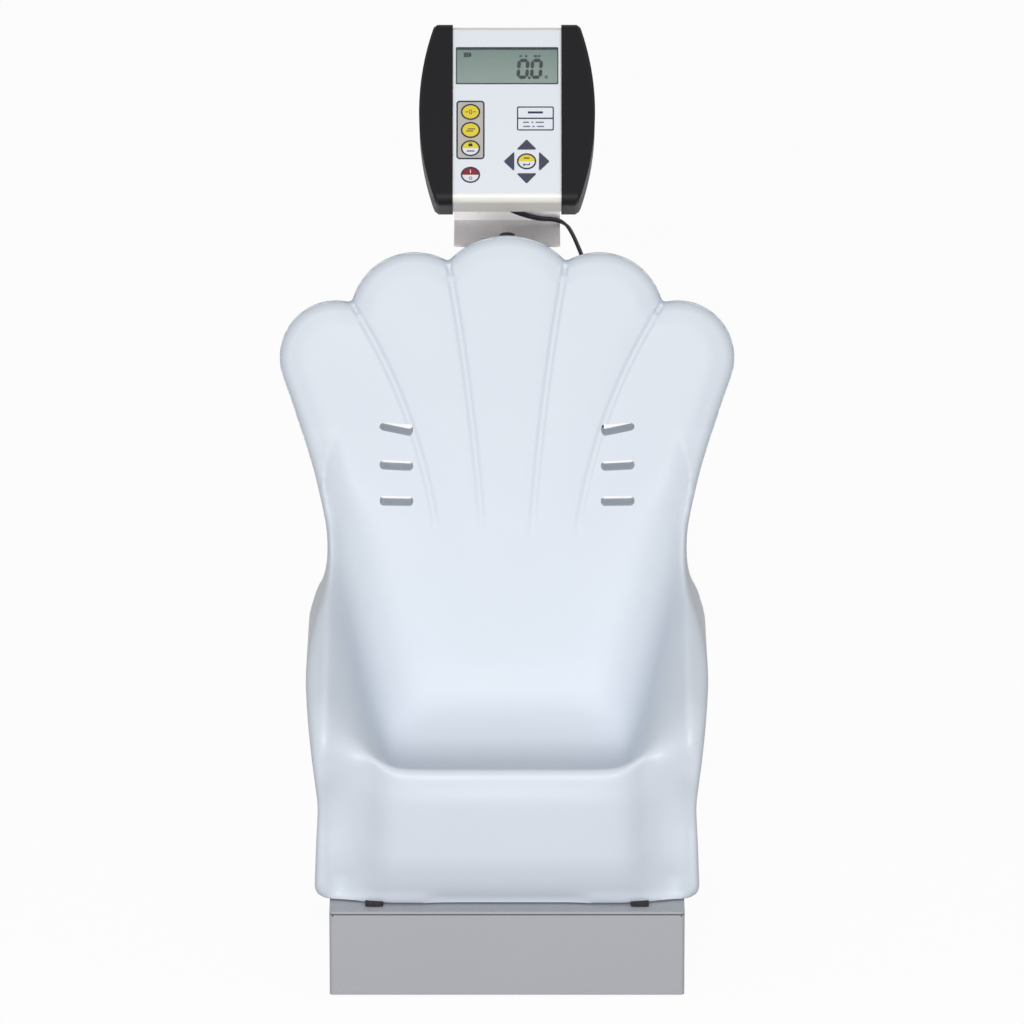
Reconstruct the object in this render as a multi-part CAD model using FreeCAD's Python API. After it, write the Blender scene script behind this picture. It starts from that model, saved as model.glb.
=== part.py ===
import FreeCAD, Part
import math
import os

V = FreeCAD.Vector

# Infant chair scale: a low platform base, a moulded chair on the platform, and an
# indicator head on a column behind the chair.
# Millimetres. X points to the sitter's left, -Y is the front, +Z is up.
# The origin is the centre of the base's footprint, on the floor.

# ---------------------------------------------------------------- driving dimensions
# base housing: a folded steel tray, open at the top
BASE_WIDTH = 355.6
BASE_DEPTH = 355.6
FLOOR_GAP = 3.0
HOUSING_HEIGHT = 84.8
HOUSING_WALL = 2.0
HOUSING_CORNER = 4.0
HOUSING_LIP = 9.0

# platform lid: a folded steel cover that rides above the housing
LID_GAP = 1.4
LID_HEIGHT = 2.6
LID_WALL = 1.6

# feet and their screws
FOOT_RADIUS = 17.0
FOOT_INSET = 28.0
FOOT_SCREW_RADIUS = 2.5
FOOT_HEAD_RADIUS = 5.0
FOOT_HEAD_HEIGHT = 1.2
FOOT_NUT_RADIUS = 5.2
FOOT_NUT_HEIGHT = 4.0

# load cell and what clamps it
CELL_LENGTH = 150.0
CELL_WIDTH = 40.0
CELL_HEIGHT = 38.0
CELL_BORE = 11.0
CELL_BORE_PITCH = 34.0
CELL_WEB = 4.0
BEAM_WIDTH = 80.0
BEAM_HEIGHT = 8.0
SPACER_LENGTH = 38.0
SPACER_HEIGHT = 4.0
CELL_SCREW_RADIUS = 4.0
CELL_SCREW_HEAD_RADIUS = 6.5
CELL_SCREW_HEAD = 5.0
CELL_SCREW_GRIP = 20.0
CELL_SCREW_PITCH = 20.0
SCREW_CLEARANCE = 0.2

# platform frame: a channel across and two rails
FRAME_SHEET = 3.0
CHANNEL_WIDTH = 60.0
RAIL_WIDTH = 30.0
RAIL_LENGTH = 310.0
RAIL_SCREW_GAP = 20.0
RAIL_WALL = 2.5

# overload stops
PLATFORM_TRAVEL = 0.6
STOP_MARGIN = 0.1
STOP_RADIUS = 6.0
STOP_NUT_RADIUS = 10.0
STOP_NUT_HEIGHT = 8.0
STOP_OFFSET_Y = 120.0

# rubber bumpers between lid and seat
BUMPER_WIDTH = 18.0
BUMPER_LENGTH = 32.0
BUMPER_HEIGHT = 3.5
BUMPER_X = 133.0
BUMPER_FRONT_Y = -148.0
BUMPER_REAR_Y = 118.0

# seat: overall outline
SEAT_FRONT_Y = -182.0
SEAT_REAR_Y = 152.0
SEAT_RIM_ABOVE_LID = 9.5
SEAT_TOP_Z = 707.2
BACK_TOP_FACE_Y = 121.0
BACK_RECLINE = 11.3
BACK_THICKNESS = 24.0
SHOULDER_HALF = 229.9
SHOULDER_RADIUS = 59.0
SHOULDER_Z = 583.4
WAIST_INSET = 48.3
WAIST_Z = 373.0
ARM_SWELL = 22.8
ARM_BULGE_Z = 331.0
SKIRT_INSET = 15.5
SKIRT_Z = 195.0
FOOT_FLARE = 4.9
SEAT_EDGE_RADIUS = 9.0
SHOULDER_SWEEP = 19.2
NOTCH_RADIUS = 5.0
WAIST_RADIUS = 325.0
ARM_CREASE_RADIUS = 22.0
ARM_BULGE_RADIUS = 100.0
SKIRT_RADIUS = 150.0
RIM_CORNER_RADIUS = 16.0
ARM_FRONT_Z = 275.0
ARM_FRONT_RADIUS = 90.0
ARM_REAR_Y = 20.0
ARM_REAR_Z = 386.0
ARM_REAR_RADIUS = 120.0
WING_MERGE_Z = 507.0
WING_RADIUS = 150.0
BACK_BUTTRESS_Z = 330.0
BUTTRESS_RADIUS = 80.0
HEEL_Z = 230.0
HEEL_RADIUS = 60.0

# seat: scallops along the top of the back
NOTCH_INNER_X = 59.5
NOTCH_INNER_DROP = 26.2
NOTCH_OUTER_INSET = 72.9
NOTCH_OUTER_DROP = 68.0
LOBE_TOP_LEAN = 15.2
LOBE_TOP_DROP = 17.0

# seat: flutes and strap slots
FLUTE_WIDTH = 5.0
FLUTE_DEPTH = 2.0
FLUTE_END_Z = 390.0
FLUTE_OUTER_MID = (101.5, 527.0)
FLUTE_OUTER_END_X = 69.2
FLUTE_INNER_MID = (35.8, 522.0)
FLUTE_INNER_END_X = 24.0
SLOT_X = 112.0
SLOT_LENGTH = 34.0
SLOT_HEIGHT = 9.5
SLOT_ROWS = ((443.8, 1.0), (479.4, 3.0), (516.2, 8.0))

# seat: bucket
APRON_Y = -173.0
APRON_INSET = 48.1
APRON_CORNER = 40.0
APRON_LIP = 16.0
APRON_SEAM = 6.0
PAN_FRONT_Z = 246.0
ROLL_RADIUS = 14.0
BUCKET_INSET = 66.1
BUCKET_RIM_INSET = 40.1
BUCKET_RIM_Z = 345.0
BUCKET_CORNER = 42.0
PAN_BACK_RADIUS = 55.0

# seat: underside
PLINTH_INSET = 18.8
PLINTH_FRONT_Y = -173.0
PLINTH_REAR_Y = 135.0
SEAT_WALL = 9.0
RECESS_TOP_Z = 188.0
RECESS_CORNER = 16.0
ARM_POCKET_TOP_Z = 300.0
HEEL_POCKET_RISE = 60.0
BOSS_RADIUS = 14.0
SEAT_SCREW_RADIUS = 3.0
SEAT_SCREW_HEAD_RADIUS = 6.0
SEAT_SCREW_HEAD = 3.5
SEAT_SCREW_GRIP = 22.0

# column and its foot bracket on the rear wall of the base
COLUMN_RADIUS = 19.05
COLUMN_WALL = 2.0
SOCKET_WALL = 4.0
SOCKET_CLEARANCE = 0.1
SOCKET_BOTTOM_Z = 10.0
SOCKET_HEIGHT = 66.0
SOCKET_FLOOR = 3.0
BRACKET_PLATE = 4.0
BRACKET_HALF_WIDTH = 45.0
BRACKET_SCREW_X = 35.0
BRACKET_SCREW_RADIUS = 3.0
BRACKET_HEAD_RADIUS = 5.5
BRACKET_HEAD = 4.0
BRACKET_SCREW_MARGIN = 12.0
CROSS_BOLT_RADIUS = 3.0
CROSS_BOLT_Z = 44.0
CROSS_HEAD_RADIUS = 5.5
CROSS_HEAD = 4.0

# column cap and pivot bolt
CAP_RADIUS = 30.0
CAP_THICKNESS = 6.0
PLUG_LENGTH = 25.0
PLUG_CLEARANCE = 0.1
PIVOT_RADIUS = 4.0
PIVOT_HEAD_RADIUS = 8.0
PIVOT_HEAD = 3.0

# head bracket: bent steel sheet
PLATE_TOP_Z = 683.5
PLATE_HALF_WIDTH = 54.0
PLATE_FRONT_Y = 171.0
PLATE_REAR_Y = 264.0
PLATE_SHEET = 2.0
PLATE_CORNER = 5.0
UPRIGHT_HEIGHT = 38.0
EAR_SPAN = 60.0
EAR_RADIUS = 11.0
EAR_FOOT_WIDTH = 16.0
CORNER_HOLE_RADIUS = 2.5
CORNER_HOLE_X = 40.0
CORNER_HOLE_FRONT_Y = 178.0
CORNER_HOLE_REAR_Y = 248.0
RING_HOLE_RADIUS = 2.2
RING_HOLE_DISTANCE = 26.0

# indicator head
HEAD_Y = 215.0
HEAD_Z = 802.5
HEAD_TILT = 32.0
HEAD_WIDTH = 110.0
HEAD_HEIGHT = 184.0
HEAD_DEPTH = 50.0
HEAD_WALL = 2.5
HEAD_FRONT_TOP_RADIUS = 5.0
HEAD_REAR_RADIUS = 12.0
PORT_RADIUS = 4.0
PORT_HOLE = 1.6
PORT_FRONT_Y = -8.0
PORT_SINK = 1.0
GUIDE_RIB = 2.0
GUIDE_DEPTH = 4.0

# end caps
CAP_GROW = 3.0
CAP_MID_HALF = 89.2
CAP_TOP_HALF = 73.0
CAP_FOOT_HALF = 71.5
CAP_BEVEL = 2.5
CAP_SCREW_HEAD_RADIUS = 3.2
CAP_SCREW_HEAD = 2.0
CAP_SCREW_LENGTH = 12.0
CAP_SEAT_X = 6.0
CAP_WALL = 4.0

# face: overlay, window and keys
OVERLAY_THICKNESS = 1.4
OVERLAY_HALF_WIDTH = 54.0
OVERLAY_TOP = 88.0
OVERLAY_BOTTOM = -84.0
WINDOW_WIDTH = 104.0
WINDOW_HEIGHT = 39.0
WINDOW_Z = 50.2
FIT = 0.2
KEY_THICKNESS = 1.0
KEY_PROUD = 0.5
KEY_TRAVEL = 0.6
KEY_CLEAR = 0.4
PLUNGER_RADIUS = 2.0
PLUNGER_HOLE = 2.6
SWITCH_SIZE = 6.0
SWITCH_HEIGHT = 3.4
OVAL_WIDTH = 19.4
OVAL_HEIGHT = 16.8
KEY_COLUMN_X = -37.0
KEY_ROW_Z = (1.2, -17.8, -37.0)
POWER_KEY_Z = -65.0
PAD_X = 19.8
PAD_Z = -50.8
ARROW_WIDTH = 20.4
ARROW_HEIGHT = 10.4
ARROW_OFFSET = 17.8
BOARD_THICKNESS = 1.6
BOARD_WIDTH = 104.0
BOARD_EDGE_PLAY = 0.4
LCD_WIDTH = 96.0
LCD_HEIGHT = 32.0
BATTERY_RADIUS = 7.2
BATTERY_LENGTH = 50.0
BATTERY_COUNT = 4
HOLDER_WALL = 2.0
HOLDER_Z = -20.0

# tilt joint behind the head
PIVOT_BEHIND = 13.2
PIVOT_DOWN = 40.4
TUBE_RADIUS = 9.0
TUBE_BORE = 4.0
LUG_CLEARANCE = 0.08
LUG_RADIUS = 12.0
LUG_THICKNESS = 8.0
LUG_INNER_X = 12.0
LUG_PLATE = 4.0
LUG_EAR_GAP = 1.0
LUG_PLATE_HEIGHT = 44.0
LUG_SCREW_RADIUS = 2.0
LUG_HEAD_RADIUS = 3.6
LUG_HEAD = 2.4
KNOB_RADIUS = 13.0
KNOB_LENGTH = 12.0
KNOB_SHANK = 26.0
GROMMET_RADIUS = 4.5
GROMMET_LENGTH = 4.0

# cable and its gland
CABLE_RADIUS = 2.5
GLAND_X = 80.0
GLAND_Z = 44.0
GLAND_THREAD_RADIUS = 6.0
GLAND_HEX_RADIUS = 10.0
GLAND_HEX = 5.0
GLAND_DOME_RADIUS = 8.0
GLAND_DOME = 12.0
GLAND_NUT = 4.0

# ---------------------------------------------------------------- derived places
RAIL_OFFSET = BUMPER_X - SEAT_SCREW_HEAD_RADIUS - RAIL_SCREW_GAP - RAIL_WIDTH / 2
HOUSING_TOP_Z = FLOOR_GAP + HOUSING_HEIGHT
TRAY_Z = FLOOR_GAP + HOUSING_WALL
BEAM_TOP_Z = TRAY_Z + BEAM_HEIGHT
CELL_Z = BEAM_TOP_Z + SPACER_HEIGHT
CELL_TOP_Z = CELL_Z + CELL_HEIGHT
FRAME_Z = CELL_TOP_Z + SPACER_HEIGHT
LID_Z = HOUSING_TOP_Z + LID_GAP
LID_TOP_Z = LID_Z + LID_HEIGHT
LID_UNDER_Z = LID_TOP_Z - LID_WALL
SEAT_Z = LID_TOP_Z + BUMPER_HEIGHT
RIM_Z = LID_TOP_Z + SEAT_RIM_ABOVE_LID
REAR_WALL_Y = BASE_DEPTH / 2
COLUMN_Y = REAR_WALL_Y + BRACKET_PLATE + COLUMN_RADIUS + SOCKET_CLEARANCE
COLUMN_BOTTOM_Z = SOCKET_BOTTOM_Z + SOCKET_FLOOR
PLATE_UNDER_Z = PLATE_TOP_Z - PLATE_SHEET
COLUMN_TOP_Z = PLATE_UNDER_Z - CAP_THICKNESS
FACE_Y = -HEAD_DEPTH / 2
HEAD_FRONT_LOW_RADIUS = HEAD_HEIGHT / 2 + OVERLAY_BOTTOM
TILT = math.radians(HEAD_TILT)
PIVOT_LOCAL_Y = HEAD_DEPTH / 2 + PIVOT_BEHIND
PIVOT_Y = HEAD_Y + PIVOT_LOCAL_Y * math.cos(TILT) - PIVOT_DOWN * math.sin(TILT)
PIVOT_Z = HEAD_Z - PIVOT_LOCAL_Y * math.sin(TILT) - PIVOT_DOWN * math.cos(TILT)
LUG_PLATE_WIDTH = EAR_SPAN - 2 * (PLATE_SHEET + LUG_EAR_GAP)
GLAND_FACE_Y = REAR_WALL_Y + GLAND_HEX + GLAND_DOME
WAIST_HALF = SHOULDER_HALF - WAIST_INSET
ARM_HALF = WAIST_HALF + ARM_SWELL
SKIRT_HALF = ARM_HALF - SKIRT_INSET
FOOT_HALF = SKIRT_HALF + FOOT_FLARE
PLINTH_HALF = FOOT_HALF - PLINTH_INSET
BUCKET_HALF = ARM_HALF - BUCKET_INSET
BUCKET_RIM_HALF = ARM_HALF - BUCKET_RIM_INSET
APRON_HALF = ARM_HALF - APRON_INSET
NOTCH_OUTER_X = SHOULDER_HALF - NOTCH_OUTER_INSET
LOBE_TOP_X = (NOTCH_INNER_X + NOTCH_OUTER_X) / 2 - LOBE_TOP_LEAN
BACK_SLOPE = math.tan(math.radians(BACK_RECLINE))
BACK_STEP_Y = BACK_THICKNESS / math.cos(math.radians(BACK_RECLINE))

FRONT = V(0, -1, 0)
UP = V(0, 0, 1)
EAST = V(1, 0, 0)
REAR = V(0, 1, 0)


# ---------------------------------------------------------------- shared helpers
def box(x0, x1, y0, y1, z0, z1):
    return Part.makeBox(x1 - x0, y1 - y0, z1 - z0, V(x0, y0, z0))


def rod(radius, start, axis, length):
    return Part.makeCylinder(radius, length, start, axis)


def hexagon(circumradius, start, axis, length):
    """Hexagonal prism, such as a nut or a bolt head."""
    turn = FreeCAD.Rotation(UP, axis)
    corners = []
    for step in range(7):
        angle = math.radians(60 * step)
        flat = V(circumradius * math.cos(angle), circumradius * math.sin(angle), 0)
        corners.append(start + turn.multVec(flat))
    return Part.Face(Part.makePolygon(corners)).extrude(axis * length)


def corner_edges(points, closed=True):
    """Edges through (point, radius) corners, each corner a tangent arc."""
    count = len(points)
    stretches = []
    for i, (corner, radius) in enumerate(points):
        if radius <= 0:
            stretches.append((corner, None, corner))
            continue
        before = (points[i - 1][0] - corner).normalize()
        after = (points[(i + 1) % count][0] - corner).normalize()
        half = before.getAngle(after) / 2
        reach = radius / math.tan(half)
        centre = corner + (before + after).normalize() * (radius / math.sin(half))
        middle = centre + (corner - centre).normalize() * radius
        stretches.append((corner + before * reach, middle, corner + after * reach))
    edges = []
    for i, (start, middle, end) in enumerate(stretches):
        if middle is not None:
            edges.append(Part.Arc(start, middle, end).toShape())
        if i == count - 1 and not closed:
            break
        following = stretches[(i + 1) % count][0]
        if (following - end).Length > 1e-6:
            edges.append(Part.makeLine(end, following))
    return edges


def rounded_wire(points):
    return Part.Wire(corner_edges(points))


def prism(points, direction):
    return Part.Face(rounded_wire(points)).extrude(direction)


def rounded_box(x0, x1, y0, y1, z0, z1, radius):
    """Box with its upright edges rounded."""
    corners = [V(x0, y0, z0), V(x1, y0, z0), V(x1, y1, z0), V(x0, y1, z0)]
    return prism([(corner, radius) for corner in corners], UP * (z1 - z0))


def fuse(shapes):
    return shapes[0].multiFuse(shapes[1:]).removeSplitter()


def mirrored(shape):
    return shape.mirror(V(0, 0, 0), EAST)


def both_sides(shape):
    return [shape, mirrored(shape)]


def in_head(shape):
    """Lean a piece of the upright head back and carry it to its place."""
    placed = shape.copy()
    lean = FreeCAD.Rotation(EAST, -HEAD_TILT)
    placed.Placement = FreeCAD.Placement(V(0, HEAD_Y, HEAD_Z), lean).multiply(placed.Placement)
    return placed


# ---------------------------------------------------------------- base
def corner_places(half_x, half_y):
    return [(sx * half_x, sy * half_y) for sx in (-1, 1) for sy in (-1, 1)]


def foot_places():
    return corner_places(BASE_WIDTH / 2 - FOOT_INSET, BASE_DEPTH / 2 - FOOT_INSET)


def stop_places():
    return corner_places(RAIL_OFFSET, STOP_OFFSET_Y)


def cell_screw_places(side):
    middle = side * (CELL_LENGTH - SPACER_LENGTH) / 2
    return [(middle - CELL_SCREW_PITCH / 2, 0), (middle + CELL_SCREW_PITCH / 2, 0)]


def bracket_screw_places():
    low = SOCKET_BOTTOM_Z + BRACKET_SCREW_MARGIN
    high = SOCKET_BOTTOM_Z + SOCKET_HEIGHT - BRACKET_SCREW_MARGIN
    return [(x, z) for x in (-BRACKET_SCREW_X, BRACKET_SCREW_X) for z in (low, high)]


def base_housing():
    w = BASE_WIDTH / 2
    d = BASE_DEPTH / 2
    t = HOUSING_WALL
    outer = rounded_box(-w, w, -d, d, FLOOR_GAP, HOUSING_TOP_Z, HOUSING_CORNER)
    inner = rounded_box(-w + t, w - t, -d + t, d - t, TRAY_Z, HOUSING_TOP_Z - t, HOUSING_CORNER - t)
    lip = HOUSING_LIP
    mouth = box(-w + lip, w - lip, -d + lip, d - lip, TRAY_Z, HOUSING_TOP_Z)
    tray = outer.cut(inner).cut(mouth)
    holes = []
    for x, y in foot_places():
        holes.append(rod(FOOT_SCREW_RADIUS + SCREW_CLEARANCE, V(x, y, FLOOR_GAP), UP, t))
    for x, y in cell_screw_places(-1):
        holes.append(rod(CELL_SCREW_HEAD_RADIUS + SCREW_CLEARANCE, V(x, y, FLOOR_GAP), UP, t))
    for x, z in bracket_screw_places():
        holes.append(rod(BRACKET_SCREW_RADIUS + SCREW_CLEARANCE, V(x, d - t, z), REAR, t))
    holes.append(rod(GLAND_THREAD_RADIUS + SCREW_CLEARANCE, V(GLAND_X, d - t, GLAND_Z), REAR, t))
    return tray.cut(holes)


def rubber_feet():
    feet = []
    for x, y in foot_places():
        disc = rod(FOOT_RADIUS, V(x, y, 0), UP, FLOOR_GAP)
        hole = rod(FOOT_SCREW_RADIUS + SCREW_CLEARANCE, V(x, y, 0), UP, FLOOR_GAP)
        pocket = rod(FOOT_HEAD_RADIUS + SCREW_CLEARANCE, V(x, y, 0), UP, FLOOR_GAP / 2 + FOOT_HEAD_HEIGHT / 2)
        feet.append(disc.cut([hole, pocket]))
    return Part.makeCompound(feet)


def foot_screws():
    screws = []
    seat_z = FLOOR_GAP / 2 + FOOT_HEAD_HEIGHT / 2
    shank = TRAY_Z + FOOT_NUT_HEIGHT + 1 - seat_z
    for x, y in foot_places():
        head = rod(FOOT_HEAD_RADIUS, V(x, y, seat_z - FOOT_HEAD_HEIGHT), UP, FOOT_HEAD_HEIGHT)
        body = rod(FOOT_SCREW_RADIUS, V(x, y, seat_z), UP, shank)
        nut = hexagon(FOOT_NUT_RADIUS, V(x, y, TRAY_Z), UP, FOOT_NUT_HEIGHT)
        screws.append(fuse([head, body, nut]))
    return Part.makeCompound(screws)


def base_beam():
    half = BASE_WIDTH / 2 - HOUSING_WALL - 1
    beam = box(-half, half, -BEAM_WIDTH / 2, BEAM_WIDTH / 2, TRAY_Z, BEAM_TOP_Z)
    holes = []
    for x, y in cell_screw_places(-1):
        holes.append(rod(CELL_SCREW_RADIUS + SCREW_CLEARANCE, V(x, y, TRAY_Z), UP, BEAM_HEIGHT))
    return beam.cut(holes)


def spacer(side, low):
    middle = side * (CELL_LENGTH - SPACER_LENGTH) / 2
    half = SPACER_LENGTH / 2
    block = box(middle - half, middle + half, -CELL_WIDTH / 2, CELL_WIDTH / 2, low, low + SPACER_HEIGHT)
    holes = []
    for x, y in cell_screw_places(side):
        holes.append(rod(CELL_SCREW_RADIUS + SCREW_CLEARANCE, V(x, y, low), UP, SPACER_HEIGHT))
    return block.cut(holes)


def load_cell():
    half = CELL_LENGTH / 2
    bar = box(-half, half, -CELL_WIDTH / 2, CELL_WIDTH / 2, CELL_Z, CELL_TOP_Z)
    middle_z = CELL_Z + CELL_HEIGHT / 2
    side_y = -CELL_WIDTH / 2
    cuts = []
    for x in (-CELL_BORE_PITCH / 2, CELL_BORE_PITCH / 2):
        cuts.append(rod(CELL_BORE, V(x, side_y, middle_z), REAR, CELL_WIDTH))
    pitch = CELL_BORE_PITCH / 2
    cuts.append(box(-pitch, pitch, side_y, -side_y, middle_z - CELL_WEB, middle_z + CELL_WEB))
    for x, y in cell_screw_places(-1):
        cuts.append(rod(CELL_SCREW_RADIUS, V(x, y, CELL_Z), UP, CELL_SCREW_GRIP))
    for x, y in cell_screw_places(1):
        cuts.append(rod(CELL_SCREW_RADIUS, V(x, y, CELL_TOP_Z - CELL_SCREW_GRIP), UP, CELL_SCREW_GRIP))
    return bar.cut(cuts)


def load_cell_lower_screws():
    screws = []
    for x, y in cell_screw_places(-1):
        head_z = TRAY_Z - HOUSING_WALL
        head = rod(CELL_SCREW_HEAD_RADIUS, V(x, y, head_z), UP, HOUSING_WALL)
        shank = rod(CELL_SCREW_RADIUS, V(x, y, TRAY_Z), UP, CELL_Z + CELL_SCREW_GRIP - TRAY_Z)
        screws.append(fuse([head, shank]))
    return Part.makeCompound(screws)


def load_cell_upper_screws():
    screws = []
    seat_z = FRAME_Z + FRAME_SHEET
    for x, y in cell_screw_places(1):
        head = rod(CELL_SCREW_HEAD_RADIUS, V(x, y, seat_z), UP, CELL_SCREW_HEAD)
        low = CELL_TOP_Z - CELL_SCREW_GRIP
        shank = rod(CELL_SCREW_RADIUS, V(x, y, low), UP, seat_z - low)
        screws.append(fuse([head, shank]))
    return Part.makeCompound(screws)


def overload_stops():
    stops = []
    top = FRAME_Z - PLATFORM_TRAVEL - STOP_MARGIN
    for x, y in stop_places():
        stud = rod(STOP_RADIUS, V(x, y, TRAY_Z), UP, top - TRAY_Z)
        nut = hexagon(STOP_NUT_RADIUS, V(x, y, TRAY_Z), UP, STOP_NUT_HEIGHT)
        stops.append(fuse([stud, nut]))
    return Part.makeCompound(stops)


def cable_gland():
    outside = hexagon(GLAND_HEX_RADIUS, V(GLAND_X, REAR_WALL_Y, GLAND_Z), REAR, GLAND_HEX)
    dome = Part.makeCone(
        GLAND_DOME_RADIUS, GLAND_DOME_RADIUS * 0.6, GLAND_DOME,
        V(GLAND_X, REAR_WALL_Y + GLAND_HEX, GLAND_Z), REAR)
    inner_y = REAR_WALL_Y - HOUSING_WALL
    thread = rod(GLAND_THREAD_RADIUS, V(GLAND_X, inner_y - GLAND_NUT - 1, GLAND_Z), REAR,
                 HOUSING_WALL + GLAND_NUT + 1)
    nut = hexagon(GLAND_HEX_RADIUS, V(GLAND_X, inner_y - GLAND_NUT, GLAND_Z), REAR, GLAND_NUT)
    return fuse([outside, dome, thread, nut])


# ---------------------------------------------------------------- column and head bracket
def column_foot_bracket():
    top = SOCKET_BOTTOM_Z + SOCKET_HEIGHT
    half = BRACKET_HALF_WIDTH
    plate = box(-half, half, REAR_WALL_Y, REAR_WALL_Y + BRACKET_PLATE, SOCKET_BOTTOM_Z, top)
    bore = COLUMN_RADIUS + SOCKET_CLEARANCE
    sleeve_radius = bore + SOCKET_WALL
    sleeve = rod(sleeve_radius, V(0, COLUMN_Y, SOCKET_BOTTOM_Z), UP, SOCKET_HEIGHT)
    cheek_y = REAR_WALL_Y + BRACKET_PLATE
    cheeks = box(-sleeve_radius, sleeve_radius, cheek_y, COLUMN_Y, SOCKET_BOTTOM_Z, top)
    body = fuse([plate, sleeve, cheeks])
    body = body.common(box(-half, half, REAR_WALL_Y, COLUMN_Y + sleeve_radius, SOCKET_BOTTOM_Z, top))
    cuts = [rod(bore, V(0, COLUMN_Y, COLUMN_BOTTOM_Z), UP, SOCKET_HEIGHT)]
    hole = CROSS_BOLT_RADIUS + SCREW_CLEARANCE
    cuts.append(rod(hole, V(-sleeve_radius, COLUMN_Y, CROSS_BOLT_Z), EAST, 2 * sleeve_radius))
    for x, z in bracket_screw_places():
        cuts.append(rod(BRACKET_SCREW_RADIUS + SCREW_CLEARANCE, V(x, REAR_WALL_Y, z), REAR, BRACKET_PLATE))
    return body.cut(cuts)


def column_foot_screws():
    screws = []
    inner_y = REAR_WALL_Y - HOUSING_WALL
    outer_y = REAR_WALL_Y + BRACKET_PLATE
    for x, z in bracket_screw_places():
        head = hexagon(BRACKET_HEAD_RADIUS, V(x, outer_y, z), REAR, BRACKET_HEAD)
        nut = hexagon(BRACKET_HEAD_RADIUS, V(x, inner_y - BRACKET_HEAD, z), REAR, BRACKET_HEAD)
        shank = rod(BRACKET_SCREW_RADIUS, V(x, inner_y - BRACKET_HEAD, z), REAR,
                    outer_y - inner_y + BRACKET_HEAD)
        screws.append(fuse([head, nut, shank]))
    return Part.makeCompound(screws)


def column_tube():
    length = COLUMN_TOP_Z - COLUMN_BOTTOM_Z
    base = V(0, COLUMN_Y, COLUMN_BOTTOM_Z)
    tube = rod(COLUMN_RADIUS, base, UP, length).cut(rod(COLUMN_RADIUS - COLUMN_WALL, base, UP, length))
    hole = CROSS_BOLT_RADIUS + SCREW_CLEARANCE
    return tube.cut(rod(hole, V(-COLUMN_RADIUS, COLUMN_Y, CROSS_BOLT_Z), EAST, 2 * COLUMN_RADIUS))


def column_cross_bolt():
    reach = COLUMN_RADIUS + SOCKET_CLEARANCE + SOCKET_WALL
    shank = rod(CROSS_BOLT_RADIUS, V(-reach, COLUMN_Y, CROSS_BOLT_Z), EAST, 2 * reach)
    head = hexagon(CROSS_HEAD_RADIUS, V(-reach - CROSS_HEAD, COLUMN_Y, CROSS_BOLT_Z), EAST, CROSS_HEAD)
    nut = hexagon(CROSS_HEAD_RADIUS, V(reach, COLUMN_Y, CROSS_BOLT_Z), EAST, CROSS_HEAD)
    return fuse([shank, head, nut])


def column_cap():
    flange = rod(CAP_RADIUS, V(0, COLUMN_Y, COLUMN_TOP_Z), UP, CAP_THICKNESS)
    plug_radius = COLUMN_RADIUS - COLUMN_WALL - PLUG_CLEARANCE
    plug = rod(plug_radius, V(0, COLUMN_Y, COLUMN_TOP_Z - PLUG_LENGTH), UP, PLUG_LENGTH)
    depth = CAP_THICKNESS + PLUG_LENGTH / 2
    thread = rod(PIVOT_RADIUS, V(0, COLUMN_Y, PLATE_UNDER_Z - depth), UP, depth)
    return fuse([flange, plug]).cut(thread)


def pivot_bolt():
    depth = CAP_THICKNESS + PLUG_LENGTH / 2
    shank = rod(PIVOT_RADIUS, V(0, COLUMN_Y, PLATE_UNDER_Z - depth), UP, depth + PLATE_SHEET)
    head = rod(PIVOT_HEAD_RADIUS, V(0, COLUMN_Y, PLATE_TOP_Z), UP, PIVOT_HEAD)
    rim = head.Edges
    top = [edge for edge in rim if edge.BoundBox.ZMin > PLATE_TOP_Z + PIVOT_HEAD / 2]
    head = head.makeFillet(PIVOT_HEAD * 0.6, top)
    return fuse([shank, head])


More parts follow.
